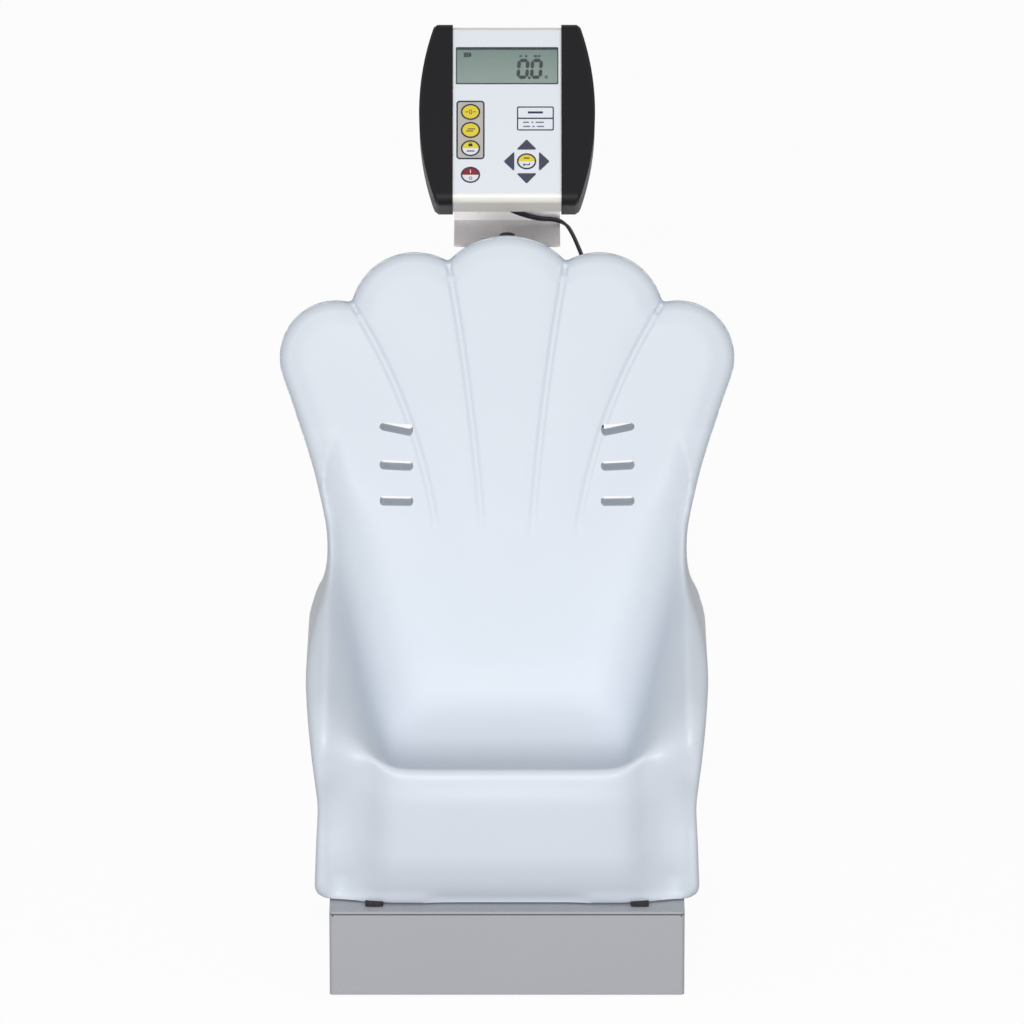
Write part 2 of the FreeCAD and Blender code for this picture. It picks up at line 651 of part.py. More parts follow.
def head_bracket():
    half = PLATE_HALF_WIDTH
    corners = [
        (V(-half, PLATE_FRONT_Y, PLATE_UNDER_Z), PLATE_CORNER),
        (V(half, PLATE_FRONT_Y, PLATE_UNDER_Z), PLATE_CORNER),
        (V(half, PLATE_REAR_Y, PLATE_UNDER_Z), 0),
        (V(-half, PLATE_REAR_Y, PLATE_UNDER_Z), 0)]
    plate = prism(corners, UP * PLATE_SHEET)
    wall_y = PLATE_REAR_Y - PLATE_SHEET
    upright = box(-half, half, wall_y, PLATE_REAR_Y, PLATE_UNDER_Z, PLATE_TOP_Z + UPRIGHT_HEIGHT)
    ear_half = EAR_SPAN / 2
    tongue = box(-ear_half, ear_half, wall_y, PLATE_REAR_Y, PLATE_TOP_Z, PIVOT_Z)
    foot_z = PLATE_TOP_Z + EAR_RADIUS
    outline = [
        (V(ear_half - PLATE_SHEET, PLATE_REAR_Y, foot_z), 0),
        (V(ear_half - PLATE_SHEET, PLATE_REAR_Y, PIVOT_Z), 0),
        (V(ear_half - PLATE_SHEET, PIVOT_Y + EAR_RADIUS * 0.2, PIVOT_Z + EAR_RADIUS * 0.98), 0),
        (V(ear_half - PLATE_SHEET, PIVOT_Y - EAR_RADIUS * 0.9, PIVOT_Z - EAR_RADIUS * 0.4), 0),
        (V(ear_half - PLATE_SHEET, PLATE_REAR_Y - EAR_FOOT_WIDTH, foot_z), 0)]
    ear = prism(outline, EAST * PLATE_SHEET)
    eye = rod(EAR_RADIUS, V(ear_half - PLATE_SHEET, PIVOT_Y, PIVOT_Z), EAST, PLATE_SHEET)
    ear = fuse([ear, eye])
    body = fuse([plate, upright, tongue] + both_sides(ear))
    cuts = [rod(PIVOT_RADIUS + SCREW_CLEARANCE, V(0, COLUMN_Y, PLATE_UNDER_Z), UP, PLATE_SHEET)]
    cuts.append(rod(TUBE_BORE + SCREW_CLEARANCE, V(-ear_half, PIVOT_Y, PIVOT_Z), EAST, EAR_SPAN))
    for x in (-CORNER_HOLE_X, CORNER_HOLE_X):
        for y in (CORNER_HOLE_FRONT_Y, CORNER_HOLE_REAR_Y):
            cuts.append(rod(CORNER_HOLE_RADIUS, V(x, y, PLATE_UNDER_Z), UP, PLATE_SHEET))
    for turn in (0, 90, 180):
        x = RING_HOLE_DISTANCE * math.cos(math.radians(turn))
        y = COLUMN_Y + RING_HOLE_DISTANCE * math.sin(math.radians(turn))
        cuts.append(rod(RING_HOLE_RADIUS, V(x, y, PLATE_UNDER_Z), UP, PLATE_SHEET))
    return body.cut(cuts)


def pivot_tube():
    half = EAR_SPAN / 2 - PLATE_SHEET
    start = V(-half, PIVOT_Y, PIVOT_Z)
    tube = rod(TUBE_RADIUS, start, EAST, 2 * half).cut(rod(TUBE_BORE, start, EAST, 2 * half))
    return tube.cut(rod(CABLE_RADIUS, V(0, PIVOT_Y, PIVOT_Z), -UP, TUBE_RADIUS))


def tilt_knobs():
    start_x = EAR_SPAN / 2
    body = rod(KNOB_RADIUS, V(start_x, PIVOT_Y, PIVOT_Z), EAST, KNOB_LENGTH)
    flutes = []
    for step in range(8):
        angle = math.radians(45 * step)
        y = PIVOT_Y + (KNOB_RADIUS + 1.5) * math.cos(angle)
        z = PIVOT_Z + (KNOB_RADIUS + 1.5) * math.sin(angle)
        flutes.append(rod(3.0, V(start_x, y, z), EAST, KNOB_LENGTH))
    shank_x = start_x + KNOB_LENGTH / 2 - KNOB_SHANK
    shank = rod(TUBE_BORE, V(shank_x, PIVOT_Y, PIVOT_Z), EAST, KNOB_SHANK)
    knob = fuse([body.cut(flutes), shank])
    return Part.makeCompound(both_sides(knob))


def cable_grommet():
    low = PIVOT_Z - TUBE_RADIUS - GROMMET_LENGTH
    collar = rod(GROMMET_RADIUS, V(0, PIVOT_Y, low), UP, GROMMET_LENGTH + TUBE_RADIUS / 2)
    return collar.cut(rod(TUBE_RADIUS, V(-TUBE_RADIUS, PIVOT_Y, PIVOT_Z), EAST, 2 * TUBE_RADIUS))


# ---------------------------------------------------------------- platform
def bumper_places():
    return [(x, y) for x in (-BUMPER_X, BUMPER_X) for y in (BUMPER_FRONT_Y, BUMPER_REAR_Y)]


def platform_frame():
    top = LID_UNDER_Z
    half = CHANNEL_WIDTH / 2
    reach = RAIL_OFFSET - RAIL_WIDTH / 2
    channel = box(-reach, reach, -half, half, FRAME_Z, top)
    inside = half - FRAME_SHEET
    channel = channel.cut(box(-reach, reach, -inside, inside, FRAME_Z + FRAME_SHEET, top))
    rail = box(reach, reach + RAIL_WIDTH, -RAIL_LENGTH / 2, RAIL_LENGTH / 2, FRAME_Z, top)
    hollow = box(reach + RAIL_WALL, reach + RAIL_WIDTH - RAIL_WALL, -RAIL_LENGTH / 2, RAIL_LENGTH / 2,
                 FRAME_Z + RAIL_WALL, top - RAIL_WALL)
    frame = fuse([channel] + both_sides(rail.cut(hollow)))
    holes = []
    for x, y in cell_screw_places(1):
        holes.append(rod(CELL_SCREW_RADIUS + SCREW_CLEARANCE, V(x, y, FRAME_Z), UP, FRAME_SHEET))
    return frame.cut(holes)


def platform_lid():
    w = BASE_WIDTH / 2
    d = BASE_DEPTH / 2
    t = LID_WALL
    outer = rounded_box(-w, w, -d, d, LID_Z, LID_TOP_Z, HOUSING_CORNER)
    inner = rounded_box(-w + t, w - t, -d + t, d - t, LID_Z, LID_UNDER_Z, HOUSING_CORNER - t)
    holes = []
    for x, y in bumper_places():
        holes.append(rod(SEAT_SCREW_RADIUS + SCREW_CLEARANCE, V(x, y, LID_UNDER_Z), UP, t))
    return outer.cut([inner] + holes)


def seat_bumpers():
    pads = []
    for x, y in bumper_places():
        w = BUMPER_WIDTH / 2
        d = BUMPER_LENGTH / 2
        pad = rounded_box(x - w, x + w, y - d, y + d, LID_TOP_Z, SEAT_Z, 3.0)
        pads.append(pad.cut(rod(SEAT_SCREW_RADIUS + SCREW_CLEARANCE, V(x, y, LID_TOP_Z), UP, BUMPER_HEIGHT)))
    return Part.makeCompound(pads)


def seat_screws():
    screws = []
    for x, y in bumper_places():
        head = rod(SEAT_SCREW_HEAD_RADIUS, V(x, y, LID_UNDER_Z - SEAT_SCREW_HEAD), UP, SEAT_SCREW_HEAD)
        shank = rod(SEAT_SCREW_RADIUS, V(x, y, LID_UNDER_Z), UP, SEAT_Z + SEAT_SCREW_GRIP - LID_UNDER_Z)
        screws.append(fuse([head, shank]))
    return Part.makeCompound(screws)


# ---------------------------------------------------------------- seat
def back_face_y(z):
    """Y of the front face of the back at height z."""
    return BACK_TOP_FACE_Y - (SEAT_TOP_Z - z) * BACK_SLOPE


def shoulder_centre():
    return V(SHOULDER_HALF - SHOULDER_RADIUS, 0, SHOULDER_Z)


def shoulder_point(angle):
    """Point of the outer lobe's circle, at an angle above its widest point."""
    turn = math.radians(angle)
    return shoulder_centre() + V(math.cos(turn), 0, math.sin(turn)) * SHOULDER_RADIUS


def scallop_edges():
    """Arcs of the right half of the scalloped top, from the centre line outwards."""
    top = SEAT_TOP_Z
    inner = V(NOTCH_INNER_X, 0, top - NOTCH_INNER_DROP)
    outer = V(NOTCH_OUTER_X, 0, top - NOTCH_OUTER_DROP)
    lobe = V(LOBE_TOP_X, 0, top - LOBE_TOP_DROP)
    centre_radius = (NOTCH_INNER_X ** 2 + NOTCH_INNER_DROP ** 2) / (2 * NOTCH_INNER_DROP)
    half_turn = math.asin(NOTCH_INNER_X / centre_radius) / 2
    halfway = V(centre_radius * math.sin(half_turn), 0, top - centre_radius * (1 - math.cos(half_turn)))
    centre_arc = Part.Arc(V(0, 0, top), halfway, inner)
    second_arc = Part.Arc(inner, lobe, outer)
    outer_angle = math.degrees(math.atan2(outer.z - SHOULDER_Z, outer.x - shoulder_centre().x))
    middle = shoulder_point((outer_angle - SHOULDER_SWEEP) / 2)
    third_arc = Part.Arc(outer, middle, shoulder_point(-SHOULDER_SWEEP))
    return [arc.toShape() for arc in (centre_arc, second_arc, third_arc)]


def waist_corners():
    """The flank's corners from the shoulder down to the waist."""
    start = shoulder_point(-SHOULDER_SWEEP)
    bend_z = start.z - (start.x - WAIST_HALF) / math.tan(math.radians(SHOULDER_SWEEP))
    return [(start, 0), (V(WAIST_HALF, 0, bend_z), WAIST_RADIUS)]


def closed_outline(half):
    """Closed wire from the edges of its right half."""
    edges = []
    for edge in half:
        edges.extend(both_sides(edge))
    return Part.Wire(Part.__sortEdges__(edges))


def is_notch(edge):
    """True for an upright edge at the foot of a notch between two scallops."""
    centre = edge.BoundBox.Center
    for x, drop in ((NOTCH_INNER_X, NOTCH_INNER_DROP), (NOTCH_OUTER_X, NOTCH_OUTER_DROP)):
        if abs(abs(centre.x) - x) < 0.1 and abs(centre.z - SEAT_TOP_Z + drop) < 0.1:
            return True
    return False


def back_panel():
    """The scalloped back: an even panel with rounded edges, leaning back."""
    low_z = BACK_BUTTRESS_Z - BACK_THICKNESS
    corners = waist_corners() + [(V(WAIST_HALF, 0, low_z), 0), (V(0, 0, low_z), 0)]
    half = scallop_edges() + corner_edges(corners, closed=False)
    panel = Part.Face(closed_outline(half)).extrude(REAR * BACK_THICKNESS)
    panel = panel.makeFillet(NOTCH_RADIUS, [edge for edge in panel.Edges if is_notch(edge)])
    rims = []
    for edge in panel.Edges:
        bounds = edge.BoundBox
        if bounds.YLength < 0.01 and bounds.ZMax > low_z + 1:
            rims.append(edge)
    panel = panel.makeFillet(SEAT_EDGE_RADIUS, rims)
    panel.rotate(V(0, 0, SEAT_TOP_Z), EAST, -BACK_RECLINE)
    panel.translate(V(0, BACK_TOP_FACE_Y, 0))
    return panel


def body_front_prism():
    """Front outline of the seat's lower body: rim, skirt, arms, waist and wings."""
    high = WING_MERGE_Z + BACK_THICKNESS
    centre_high = V(0, 0, high)
    corners = waist_corners()[1:] + [
        (V(WAIST_HALF, 0, WAIST_Z), ARM_CREASE_RADIUS),
        (V(ARM_HALF, 0, ARM_BULGE_Z), ARM_BULGE_RADIUS),
        (V(SKIRT_HALF, 0, SKIRT_Z), SKIRT_RADIUS),
        (V(FOOT_HALF, 0, RIM_Z), RIM_CORNER_RADIUS),
        (V(0, 0, RIM_Z), 0)]
    slant = math.tan(math.radians(SHOULDER_SWEEP))
    bend = waist_corners()[1][0]
    top_corner = V(bend.x + (high - bend.z) * slant, 0, high)
    half = corner_edges([(centre_high, 0), (top_corner, 0)] + corners, closed=False)
    outline = closed_outline(half)
    outline.translate(V(0, SEAT_FRONT_Y - 1, 0))
    return Part.Face(outline).extrude(REAR * (SEAT_REAR_Y - SEAT_FRONT_Y + 2))


def body_side_prism():
    """Side outline of the lower body: arm fronts, wings, and the buttress behind."""
    x = -SHOULDER_HALF - 1
    inside = BACK_STEP_Y / 2
    high = WING_MERGE_Z + BACK_THICKNESS
    rear_z = BACK_BUTTRESS_Z
    corners = [
        (V(x, SEAT_FRONT_Y, RIM_Z), 0),
        (V(x, SEAT_FRONT_Y, ARM_FRONT_Z), ARM_FRONT_RADIUS),
        (V(x, ARM_REAR_Y, ARM_REAR_Z), ARM_REAR_RADIUS),
        (V(x, back_face_y(WING_MERGE_Z), WING_MERGE_Z), WING_RADIUS),
        (V(x, back_face_y(high) + 1, high), 0),
        (V(x, back_face_y(high) + inside, high), 0),
        (V(x, back_face_y(rear_z + inside) + inside, rear_z + inside), 0),
        (V(x, back_face_y(rear_z) + BACK_STEP_Y, rear_z), 0),
        (V(x, SEAT_REAR_Y, HEEL_Z), HEEL_RADIUS),
        (V(x, SEAT_REAR_Y, RIM_Z), 0)]
    return prism(corners, EAST * (-2 * x))


def faces_of_both(solid, edge):
    """True where an upright flank face meets a face drawn in side view."""
    middle = edge.valueAt((edge.FirstParameter + edge.LastParameter) / 2)
    kinds = set()
    for face in solid.ancestorsOfType(edge, Part.Face):
        normal = face.normalAt(*face.Surface.parameter(middle))
        if abs(normal.y) < 1e-3 and abs(normal.x) > 1e-3:
            kinds.add("flank")
        if abs(normal.x) < 1e-3 and abs(normal.y) > 1e-3:
            kinds.add("side")
    return len(kinds) == 2


def lower_body():
    """Arms, skirt and wings as one rounded block, before it is scooped out."""
    body = body_front_prism().common(body_side_prism()).Solids[0]
    rims = []
    for edge in body.Edges:
        middle = edge.valueAt((edge.FirstParameter + edge.LastParameter) / 2)
        is_foot = abs(middle.z - RIM_Z) < 0.01 and abs(middle.x) < 0.01
        is_flank = faces_of_both(body, edge)
        below_back = middle.y < back_face_y(middle.z) or middle.z < BACK_BUTTRESS_Z
        if is_foot or (is_flank and below_back):
            rims.append(edge)
    return body.makeFillet(SEAT_EDGE_RADIUS, rims)


def pan_z(y):
    """Height of the pan, which is square to the back."""
    return PAN_FRONT_Z - BACK_SLOPE * (y - APRON_Y)


def pan_back_y():
    """Y where the pan's plane meets the plane of the back's face."""
    reach = BACK_TOP_FACE_Y - BACK_SLOPE * (SEAT_TOP_Z - PAN_FRONT_Z - BACK_SLOPE * APRON_Y)
    return reach / (1 + BACK_SLOPE ** 2)


def wall_half(z):
    """Half-width between the bucket's side walls at height z."""
    lean = (BUCKET_RIM_HALF - BUCKET_HALF) / (BUCKET_RIM_Z - PAN_FRONT_Z)
    return BUCKET_HALF + lean * (z - PAN_FRONT_Z)


def bucket_tool():
    """Everything scooped out in front of the back, above the pan and ahead of the apron."""
    ahead = SEAT_FRONT_Y - 60
    above = SEAT_TOP_Z + 60
    low = RIM_Z - 20
    x = wall_half(above) + 10
    meet_y = pan_back_y()
    corners = [
        (V(-x, ahead, low), 0),
        (V(-x, APRON_Y, low), 0),
        (V(-x, APRON_Y, PAN_FRONT_Z), ROLL_RADIUS),
        (V(-x, meet_y, pan_z(meet_y)), PAN_BACK_RADIUS),
        (V(-x, back_face_y(above), above), 0),
        (V(-x, ahead, above), 0)]
    side_view = prism(corners, EAST * (2 * x))
    walls = [
        (V(-wall_half(low), ahead, low), 0),
        (V(wall_half(low), ahead, low), 0),
        (V(wall_half(above), ahead, above), 0),
        (V(-wall_half(above), ahead, above), 0)]
    front_view = prism(walls, REAR * (SEAT_REAR_Y - ahead))
    tool = side_view.common(front_view).Solids[0]
    seams = []
    for edge in tool.Edges:
        middle = edge.valueAt((edge.FirstParameter + edge.LastParameter) / 2)
        on_wall = abs(abs(middle.x) - wall_half(middle.z)) < 0.5
        if on_wall and middle.y > APRON_Y - 1 and low + 1 < middle.z < above - 1:
            seams.append(edge)
    return tool.makeFillet(BUCKET_CORNER, seams)


def apron_tool():
    """The shallow dish in the front, between the two arm fronts and above the rim."""
    low = RIM_Z + APRON_LIP
    high = ARM_FRONT_Z
    ahead = SEAT_FRONT_Y - SEAT_EDGE_RADIUS
    half = APRON_HALF
    corners = [V(-half, ahead, low), V(half, ahead, low), V(half, ahead, high), V(-half, ahead, high)]
    dish = prism([(corner, APRON_CORNER) for corner in corners], REAR * (APRON_Y - ahead))
    floor = [edge for edge in dish.Edges if edge.BoundBox.YMin > APRON_Y - 0.01]
    return dish.makeFillet(APRON_SEAM, floor)


def underside_tool():
    """The hollow under the pan, with pockets that reach up into the arms and the heel."""
    half = PLINTH_HALF - SEAT_WALL
    front = PLINTH_FRONT_Y + SEAT_WALL
    rear = PLINTH_REAR_Y - SEAT_WALL
    recess = rounded_box(-half, half, front, rear, SEAT_Z, RECESS_TOP_Z, RECESS_CORNER)
    arm_low_in = wall_half(RECESS_TOP_Z) + SEAT_WALL + BUCKET_CORNER / 4
    arm_top_z = ARM_POCKET_TOP_Z
    arm_out = SKIRT_HALF - SEAT_WALL
    arm = [
        (V(half - 1, front, RECESS_TOP_Z - 20), 0),
        (V(arm_out, front, RECESS_TOP_Z), 0),
        (V(ARM_HALF - SEAT_WALL, front, arm_top_z), 0),
        (V(wall_half(arm_top_z) + SEAT_WALL, front, arm_top_z), 0),
        (V(arm_low_in, front, RECESS_TOP_Z - 20), 0)]
    arm_prism = prism(arm, REAR * (rear - front))
    inset = SEAT_WALL + 2
    side = [
        (V(0, SEAT_FRONT_Y + inset, SEAT_Z), 0),
        (V(0, SEAT_FRONT_Y + inset, ARM_FRONT_Z - ARM_FRONT_RADIUS / 2), ARM_FRONT_RADIUS / 3),
        (V(0, ARM_REAR_Y - ARM_FRONT_RADIUS, arm_top_z), 0),
        (V(0, pan_back_y() + BACK_STEP_Y, arm_top_z), 0),
        (V(0, SEAT_REAR_Y - inset, HEEL_Z - inset), 0),
        (V(0, SEAT_REAR_Y - inset, SEAT_Z), 0)]
    arm_prism = arm_prism.common(prism(side, EAST * SHOULDER_HALF))
    heel_front = pan_back_y() + PAN_BACK_RADIUS / 2 + SEAT_WALL
    heel_top = HEEL_Z + HEEL_POCKET_RISE
    heel = [
        (V(-BUCKET_HALF, heel_front, RECESS_TOP_Z - 1), 0),
        (V(-BUCKET_HALF, back_face_y(heel_top) + SEAT_WALL, heel_top), 0),
        (V(-BUCKET_HALF, back_face_y(heel_top) + BACK_STEP_Y, heel_top), 0),
        (V(-BUCKET_HALF, rear, HEEL_Z - SEAT_WALL), 0),
        (V(-BUCKET_HALF, rear, RECESS_TOP_Z - 1), 0)]
    heel_prism = prism(heel, EAST * (2 * BUCKET_HALF))
    return fuse([recess, heel_prism] + both_sides(arm_prism))


def flute_strip(notch, middle, end):
    """Strip along the arc through three points of the back, square to its face."""
    arc = Part.Arc(notch, middle, end).toShape()
    curve = arc.Curve
    centre = curve.Center
    edges = []
    sides = []
    for offset in (-FLUTE_WIDTH / 2, FLUTE_WIDTH / 2):
        scale = (curve.Radius + offset) / curve.Radius
        three = [centre + (point - centre) * scale for point in (notch, middle, end)]
        edges.append(Part.Arc(*three).toShape())
        sides.append(three)
    edges.append(Part.makeLine(sides[0][0], sides[1][0]))
    cap = end + (end - middle).normalize() * FLUTE_WIDTH / 2
    edges.append(Part.Arc(sides[0][2], cap, sides[1][2]).toShape())
    outline = Part.Wire(Part.__sortEdges__(edges))
    return Part.Face(outline).extrude(REAR * (FLUTE_DEPTH + 20))


def flute_tools():
    strips = []
    top = SEAT_TOP_Z
    inner = V(NOTCH_INNER_X, -20, top - NOTCH_INNER_DROP)
    outer = V(NOTCH_OUTER_X, -20, top - NOTCH_OUTER_DROP)
    for notch, mid, end_x in (
            (inner, FLUTE_INNER_MID, FLUTE_INNER_END_X),
            (outer, FLUTE_OUTER_MID, FLUTE_OUTER_END_X)):
        strip = flute_strip(notch, V(mid[0], -20, mid[1]), V(end_x, -20, FLUTE_END_Z))
        strip.rotate(V(0, 0, top), EAST, -BACK_RECLINE)
        strip.translate(V(0, BACK_TOP_FACE_Y, 0))
        strips.extend(both_sides(strip))
    return strips


def slot_tools():
    slots = []
    for z, droop in SLOT_ROWS:
        near = back_face_y(z) - 2 * BACK_STEP_Y
        half = SLOT_LENGTH / 2
        rise = SLOT_HEIGHT / 2
        round_end = rise * 0.98
        corners = [V(-half, near, -rise), V(half, near, -rise), V(half, near, rise), V(-half, near, rise)]
        slot = prism([(corner, round_end) for corner in corners], REAR * (4 * BACK_STEP_Y))
        slot.rotate(V(0, 0, 0), REAR, -droop)
        slot.translate(V(SLOT_X, 0, z))
        slots.extend(both_sides(slot))
    return slots


def seat_bosses():
    bosses = []
    for x, y in bumper_places():
        bosses.append(rod(BOSS_RADIUS, V(x, y, SEAT_Z), UP, RECESS_TOP_Z - SEAT_Z + 2))
    return bosses


def seat_screw_holes():
    holes = []
    for x, y in bumper_places():
        holes.append(rod(SEAT_SCREW_RADIUS, V(x, y, SEAT_Z), UP, SEAT_SCREW_GRIP))
    return holes


def seat_shell():
    plinth = rounded_box(-PLINTH_HALF, PLINTH_HALF, PLINTH_FRONT_Y, PLINTH_REAR_Y, SEAT_Z,
                         RIM_Z + SEAT_WALL, RECESS_CORNER + SEAT_WALL)
    hollowed = fuse([lower_body(), plinth]).cut(underside_tool())
    body = hollowed.cut(bucket_tool()).cut(apron_tool())
    bosses = [boss.common(plinth_column()) for boss in seat_bosses()]
    body = fuse([body, back_panel()] + bosses)
    return body.cut(slot_tools()).cut(flute_tools()).cut(seat_screw_holes())


def plinth_column():
    """The space above the plinth's own footprint, which keeps the bosses inside it."""
    return box(-PLINTH_HALF, PLINTH_HALF, PLINTH_FRONT_Y, PLINTH_REAR_Y, SEAT_Z, RECESS_TOP_Z + 2)


# ---------------------------------------------------------------- indicator head
def head_section(grow):
    """Corners of the head's end section, rear and front, grown by a margin."""
    half_y = HEAD_DEPTH / 2 + grow
    half_z = HEAD_HEIGHT / 2 + grow
    x = -HEAD_WIDTH / 2
    return [
        (V(x, -half_y, -half_z), HEAD_FRONT_LOW_RADIUS + grow),
        (V(x, -half_y, half_z), HEAD_FRONT_TOP_RADIUS + grow),
        (V(x, half_y, half_z), HEAD_REAR_RADIUS + grow),
        (V(x, half_y, -half_z), HEAD_REAR_RADIUS + grow)]


def board_front_y():
    """Front face of the circuit board: the switches on it sit just behind the plungers."""
    return FACE_Y + HEAD_WALL + SWITCH_HEIGHT + KEY_CLEAR


def key_places():
    """Every key as (name, x, z)."""
    zero_z, units_z, lock_z = KEY_ROW_Z
    return [
        ("key_zero", KEY_COLUMN_X, zero_z),
        ("key_units", KEY_COLUMN_X, units_z),
        ("key_lock", KEY_COLUMN_X, lock_z),
        ("key_power", KEY_COLUMN_X, POWER_KEY_Z),
        ("key_enter", PAD_X, PAD_Z),
        ("key_up", PAD_X, PAD_Z + ARROW_OFFSET),
        ("key_down", PAD_X, PAD_Z - ARROW_OFFSET),
        ("key_left", PAD_X - ARROW_OFFSET, PAD_Z),
        ("key_right", PAD_X + ARROW_OFFSET, PAD_Z)]


def key_outline(name, x, z, y, grow):
    """Oval for the round keys, a triangle pointing outwards for the arrows."""
    turns = {"key_up": 0, "key_right": 90, "key_down": 180, "key_left": 270}
    if name not in turns:
        half_width = OVAL_WIDTH / 2 + grow
        half_height = OVAL_HEIGHT / 2 + grow
        oval = Part.Ellipse(V(0, 0, 0), half_width, half_height)
        wire = Part.Wire(oval.toShape())
        wire.rotate(V(0, 0, 0), EAST, 90)
        wire.translate(V(x, y, z))
        return wire
    half = ARROW_WIDTH / 2 + 2 * grow
    rise = ARROW_HEIGHT / 2 + grow
    corners = [V(-half, 0, -rise), V(half, 0, -rise), V(0, 0, rise + grow)]
    wire = rounded_wire([(corner, 0.8) for corner in corners])
    wire.rotate(V(0, 0, 0), REAR, turns[name])
    wire.translate(V(x, y, z))
    return wire


def key_prism(name, x, z, front_y, rear_y, grow):
    return Part.Face(key_outline(name, x, z, front_y, grow)).extrude(REAR * (rear_y - front_y))


def window_hole(grow, front_y, rear_y):
    half_x = WINDOW_WIDTH / 2 + grow
    half_z = WINDOW_HEIGHT / 2 + grow
    return box(-half_x, half_x, front_y, rear_y, WINDOW_Z - half_z, WINDOW_Z + half_z)


def port_places():
    """Screw ports: sunk a little into the tube's walls, so that they are one piece with it."""
    z = HEAD_HEIGHT / 2 - HEAD_WALL - PORT_RADIUS + PORT_SINK
    rear_y = HEAD_DEPTH / 2 - HEAD_WALL - PORT_RADIUS + PORT_SINK
    return [(y, sign * z) for y in (PORT_FRONT_Y, rear_y) for sign in (-1, 1)]


def head_extrusion():
    outer = prism(head_section(0), EAST * HEAD_WIDTH)
    inner = prism(head_section(-HEAD_WALL), EAST * HEAD_WIDTH)
    tube = outer.cut(inner)
    x = -HEAD_WIDTH / 2
    additions = []
    for y, z in port_places():
        additions.append(rod(PORT_RADIUS, V(x, y, z), EAST, HEAD_WIDTH))
    board_y = board_front_y()
    wall_z = HEAD_HEIGHT / 2 - HEAD_WALL / 2
    for sign in (-1, 1):
        z_pair = sorted((sign * wall_z, sign * (HEAD_HEIGHT / 2 - HEAD_WALL - GUIDE_DEPTH)))
        front_rib = board_y - BOARD_EDGE_PLAY / 2
        rear_rib = board_y + BOARD_THICKNESS + BOARD_EDGE_PLAY / 2
        additions.append(box(x, -x, front_rib - GUIDE_RIB, front_rib, z_pair[0], z_pair[1]))
        additions.append(box(x, -x, rear_rib, rear_rib + GUIDE_RIB, z_pair[0], z_pair[1]))
    body = fuse([tube] + [piece.common(outer) for piece in additions])
    cuts = []
    for y, z in port_places():
        cuts.append(rod(PORT_HOLE, V(x, y, z), EAST, HEAD_WIDTH))
    cuts.append(box(-LCD_WIDTH / 2 - 1, LCD_WIDTH / 2 + 1, FACE_Y, FACE_Y + HEAD_WALL,
                    WINDOW_Z - LCD_HEIGHT / 2 - 1, WINDOW_Z + LCD_HEIGHT / 2 + 1))
    for name, key_x, key_z in key_places():
        cuts.append(rod(PLUNGER_HOLE, V(key_x, FACE_Y, key_z), REAR, HEAD_WALL))
    for lug_x, lug_z in lug_screw_places():
        cuts.append(rod(LUG_SCREW_RADIUS + SCREW_CLEARANCE, V(lug_x, -FACE_Y - HEAD_WALL, lug_z), REAR, HEAD_WALL))
    return body.cut(cuts)


def cap_outline(inset, y, inner_x):
    """Flat side, two short ends and the bowed outer side of an end cap."""
    half_z = HEAD_HEIGHT / 2 + CAP_GROW - inset
    top = V(CAP_TOP_HALF - inset, y, half_z)
    bottom = V(CAP_FOOT_HALF - inset, y, -half_z)
    bow = Part.Arc(top, V(CAP_MID_HALF - inset, y, 0), bottom).toShape()
    return Part.Wire([
        bow,
        Part.makeLine(bottom, V(inner_x, y, -half_z)),
        Part.makeLine(V(inner_x, y, -half_z), V(inner_x, y, half_z)),
        Part.makeLine(V(inner_x, y, half_z), top)])


def cap_block(inset):
    """The bowed outline, cut to the tube's own section, both drawn in by an inset."""
    start_x = HEAD_WIDTH / 2
    bowed = Part.Face(cap_outline(inset, -HEAD_DEPTH, start_x)).extrude(REAR * (2 * HEAD_DEPTH))
    section = prism(head_section(CAP_GROW - inset), EAST * (start_x + CAP_MID_HALF + 1))
    return bowed.common(section).Solids[0]


def cap_rims(block):
    """Edges where the cap's bowed side meets its front, rear and ends."""
    rims = []
    for edge in block.Edges:
        middle = edge.valueAt((edge.FirstParameter + edge.LastParameter) / 2)
        kinds = set()
        for face in block.ancestorsOfType(edge, Part.Face):
            normal = face.normalAt(*face.Surface.parameter(middle))
            if abs(normal.x) < 1e-3:
                kinds.add("around")
            elif middle.x > HEAD_WIDTH / 2 + 1:
                kinds.add("bowed")
        if len(kinds) == 2:
            rims.append(edge)
    return rims


def end_cap():
    """Right-hand cap: a hollow shell with the tube's side profile, its outer edge bowed."""
    start_x = HEAD_WIDTH / 2
    block = cap_block(0)
    block = block.makeChamfer(CAP_BEVEL, cap_rims(block))
    pillars = []
    cuts = []
    for y, z in port_places():
        pillars.append(rod(CAP_SCREW_HEAD_RADIUS + CAP_WALL, V(start_x, y, z), EAST, CAP_MID_HALF - start_x))
        cuts.append(rod(PORT_HOLE + SCREW_CLEARANCE, V(start_x, y, z), EAST, CAP_MID_HALF - start_x))
        cuts.append(rod(CAP_SCREW_HEAD_RADIUS + SCREW_CLEARANCE, V(start_x + CAP_SEAT_X, y, z), EAST,
                        CAP_MID_HALF - start_x))
    return block.cut(cap_block(CAP_WALL).cut(pillars)).cut(cuts)


def right_end_cap():
    return end_cap()


def left_end_cap():
    return mirrored(end_cap())


def cap_screws():
    screws = []
    seat_x = HEAD_WIDTH / 2 + CAP_SEAT_X
    for y, z in port_places():
        head = rod(CAP_SCREW_HEAD_RADIUS, V(seat_x, y, z), EAST, CAP_SCREW_HEAD)
        shank = rod(PORT_HOLE, V(seat_x - CAP_SEAT_X - CAP_SCREW_LENGTH, y, z), EAST,
                    CAP_SEAT_X + CAP_SCREW_LENGTH)
        screws.extend(both_sides(fuse([head, shank])))
    return Part.makeCompound(screws)


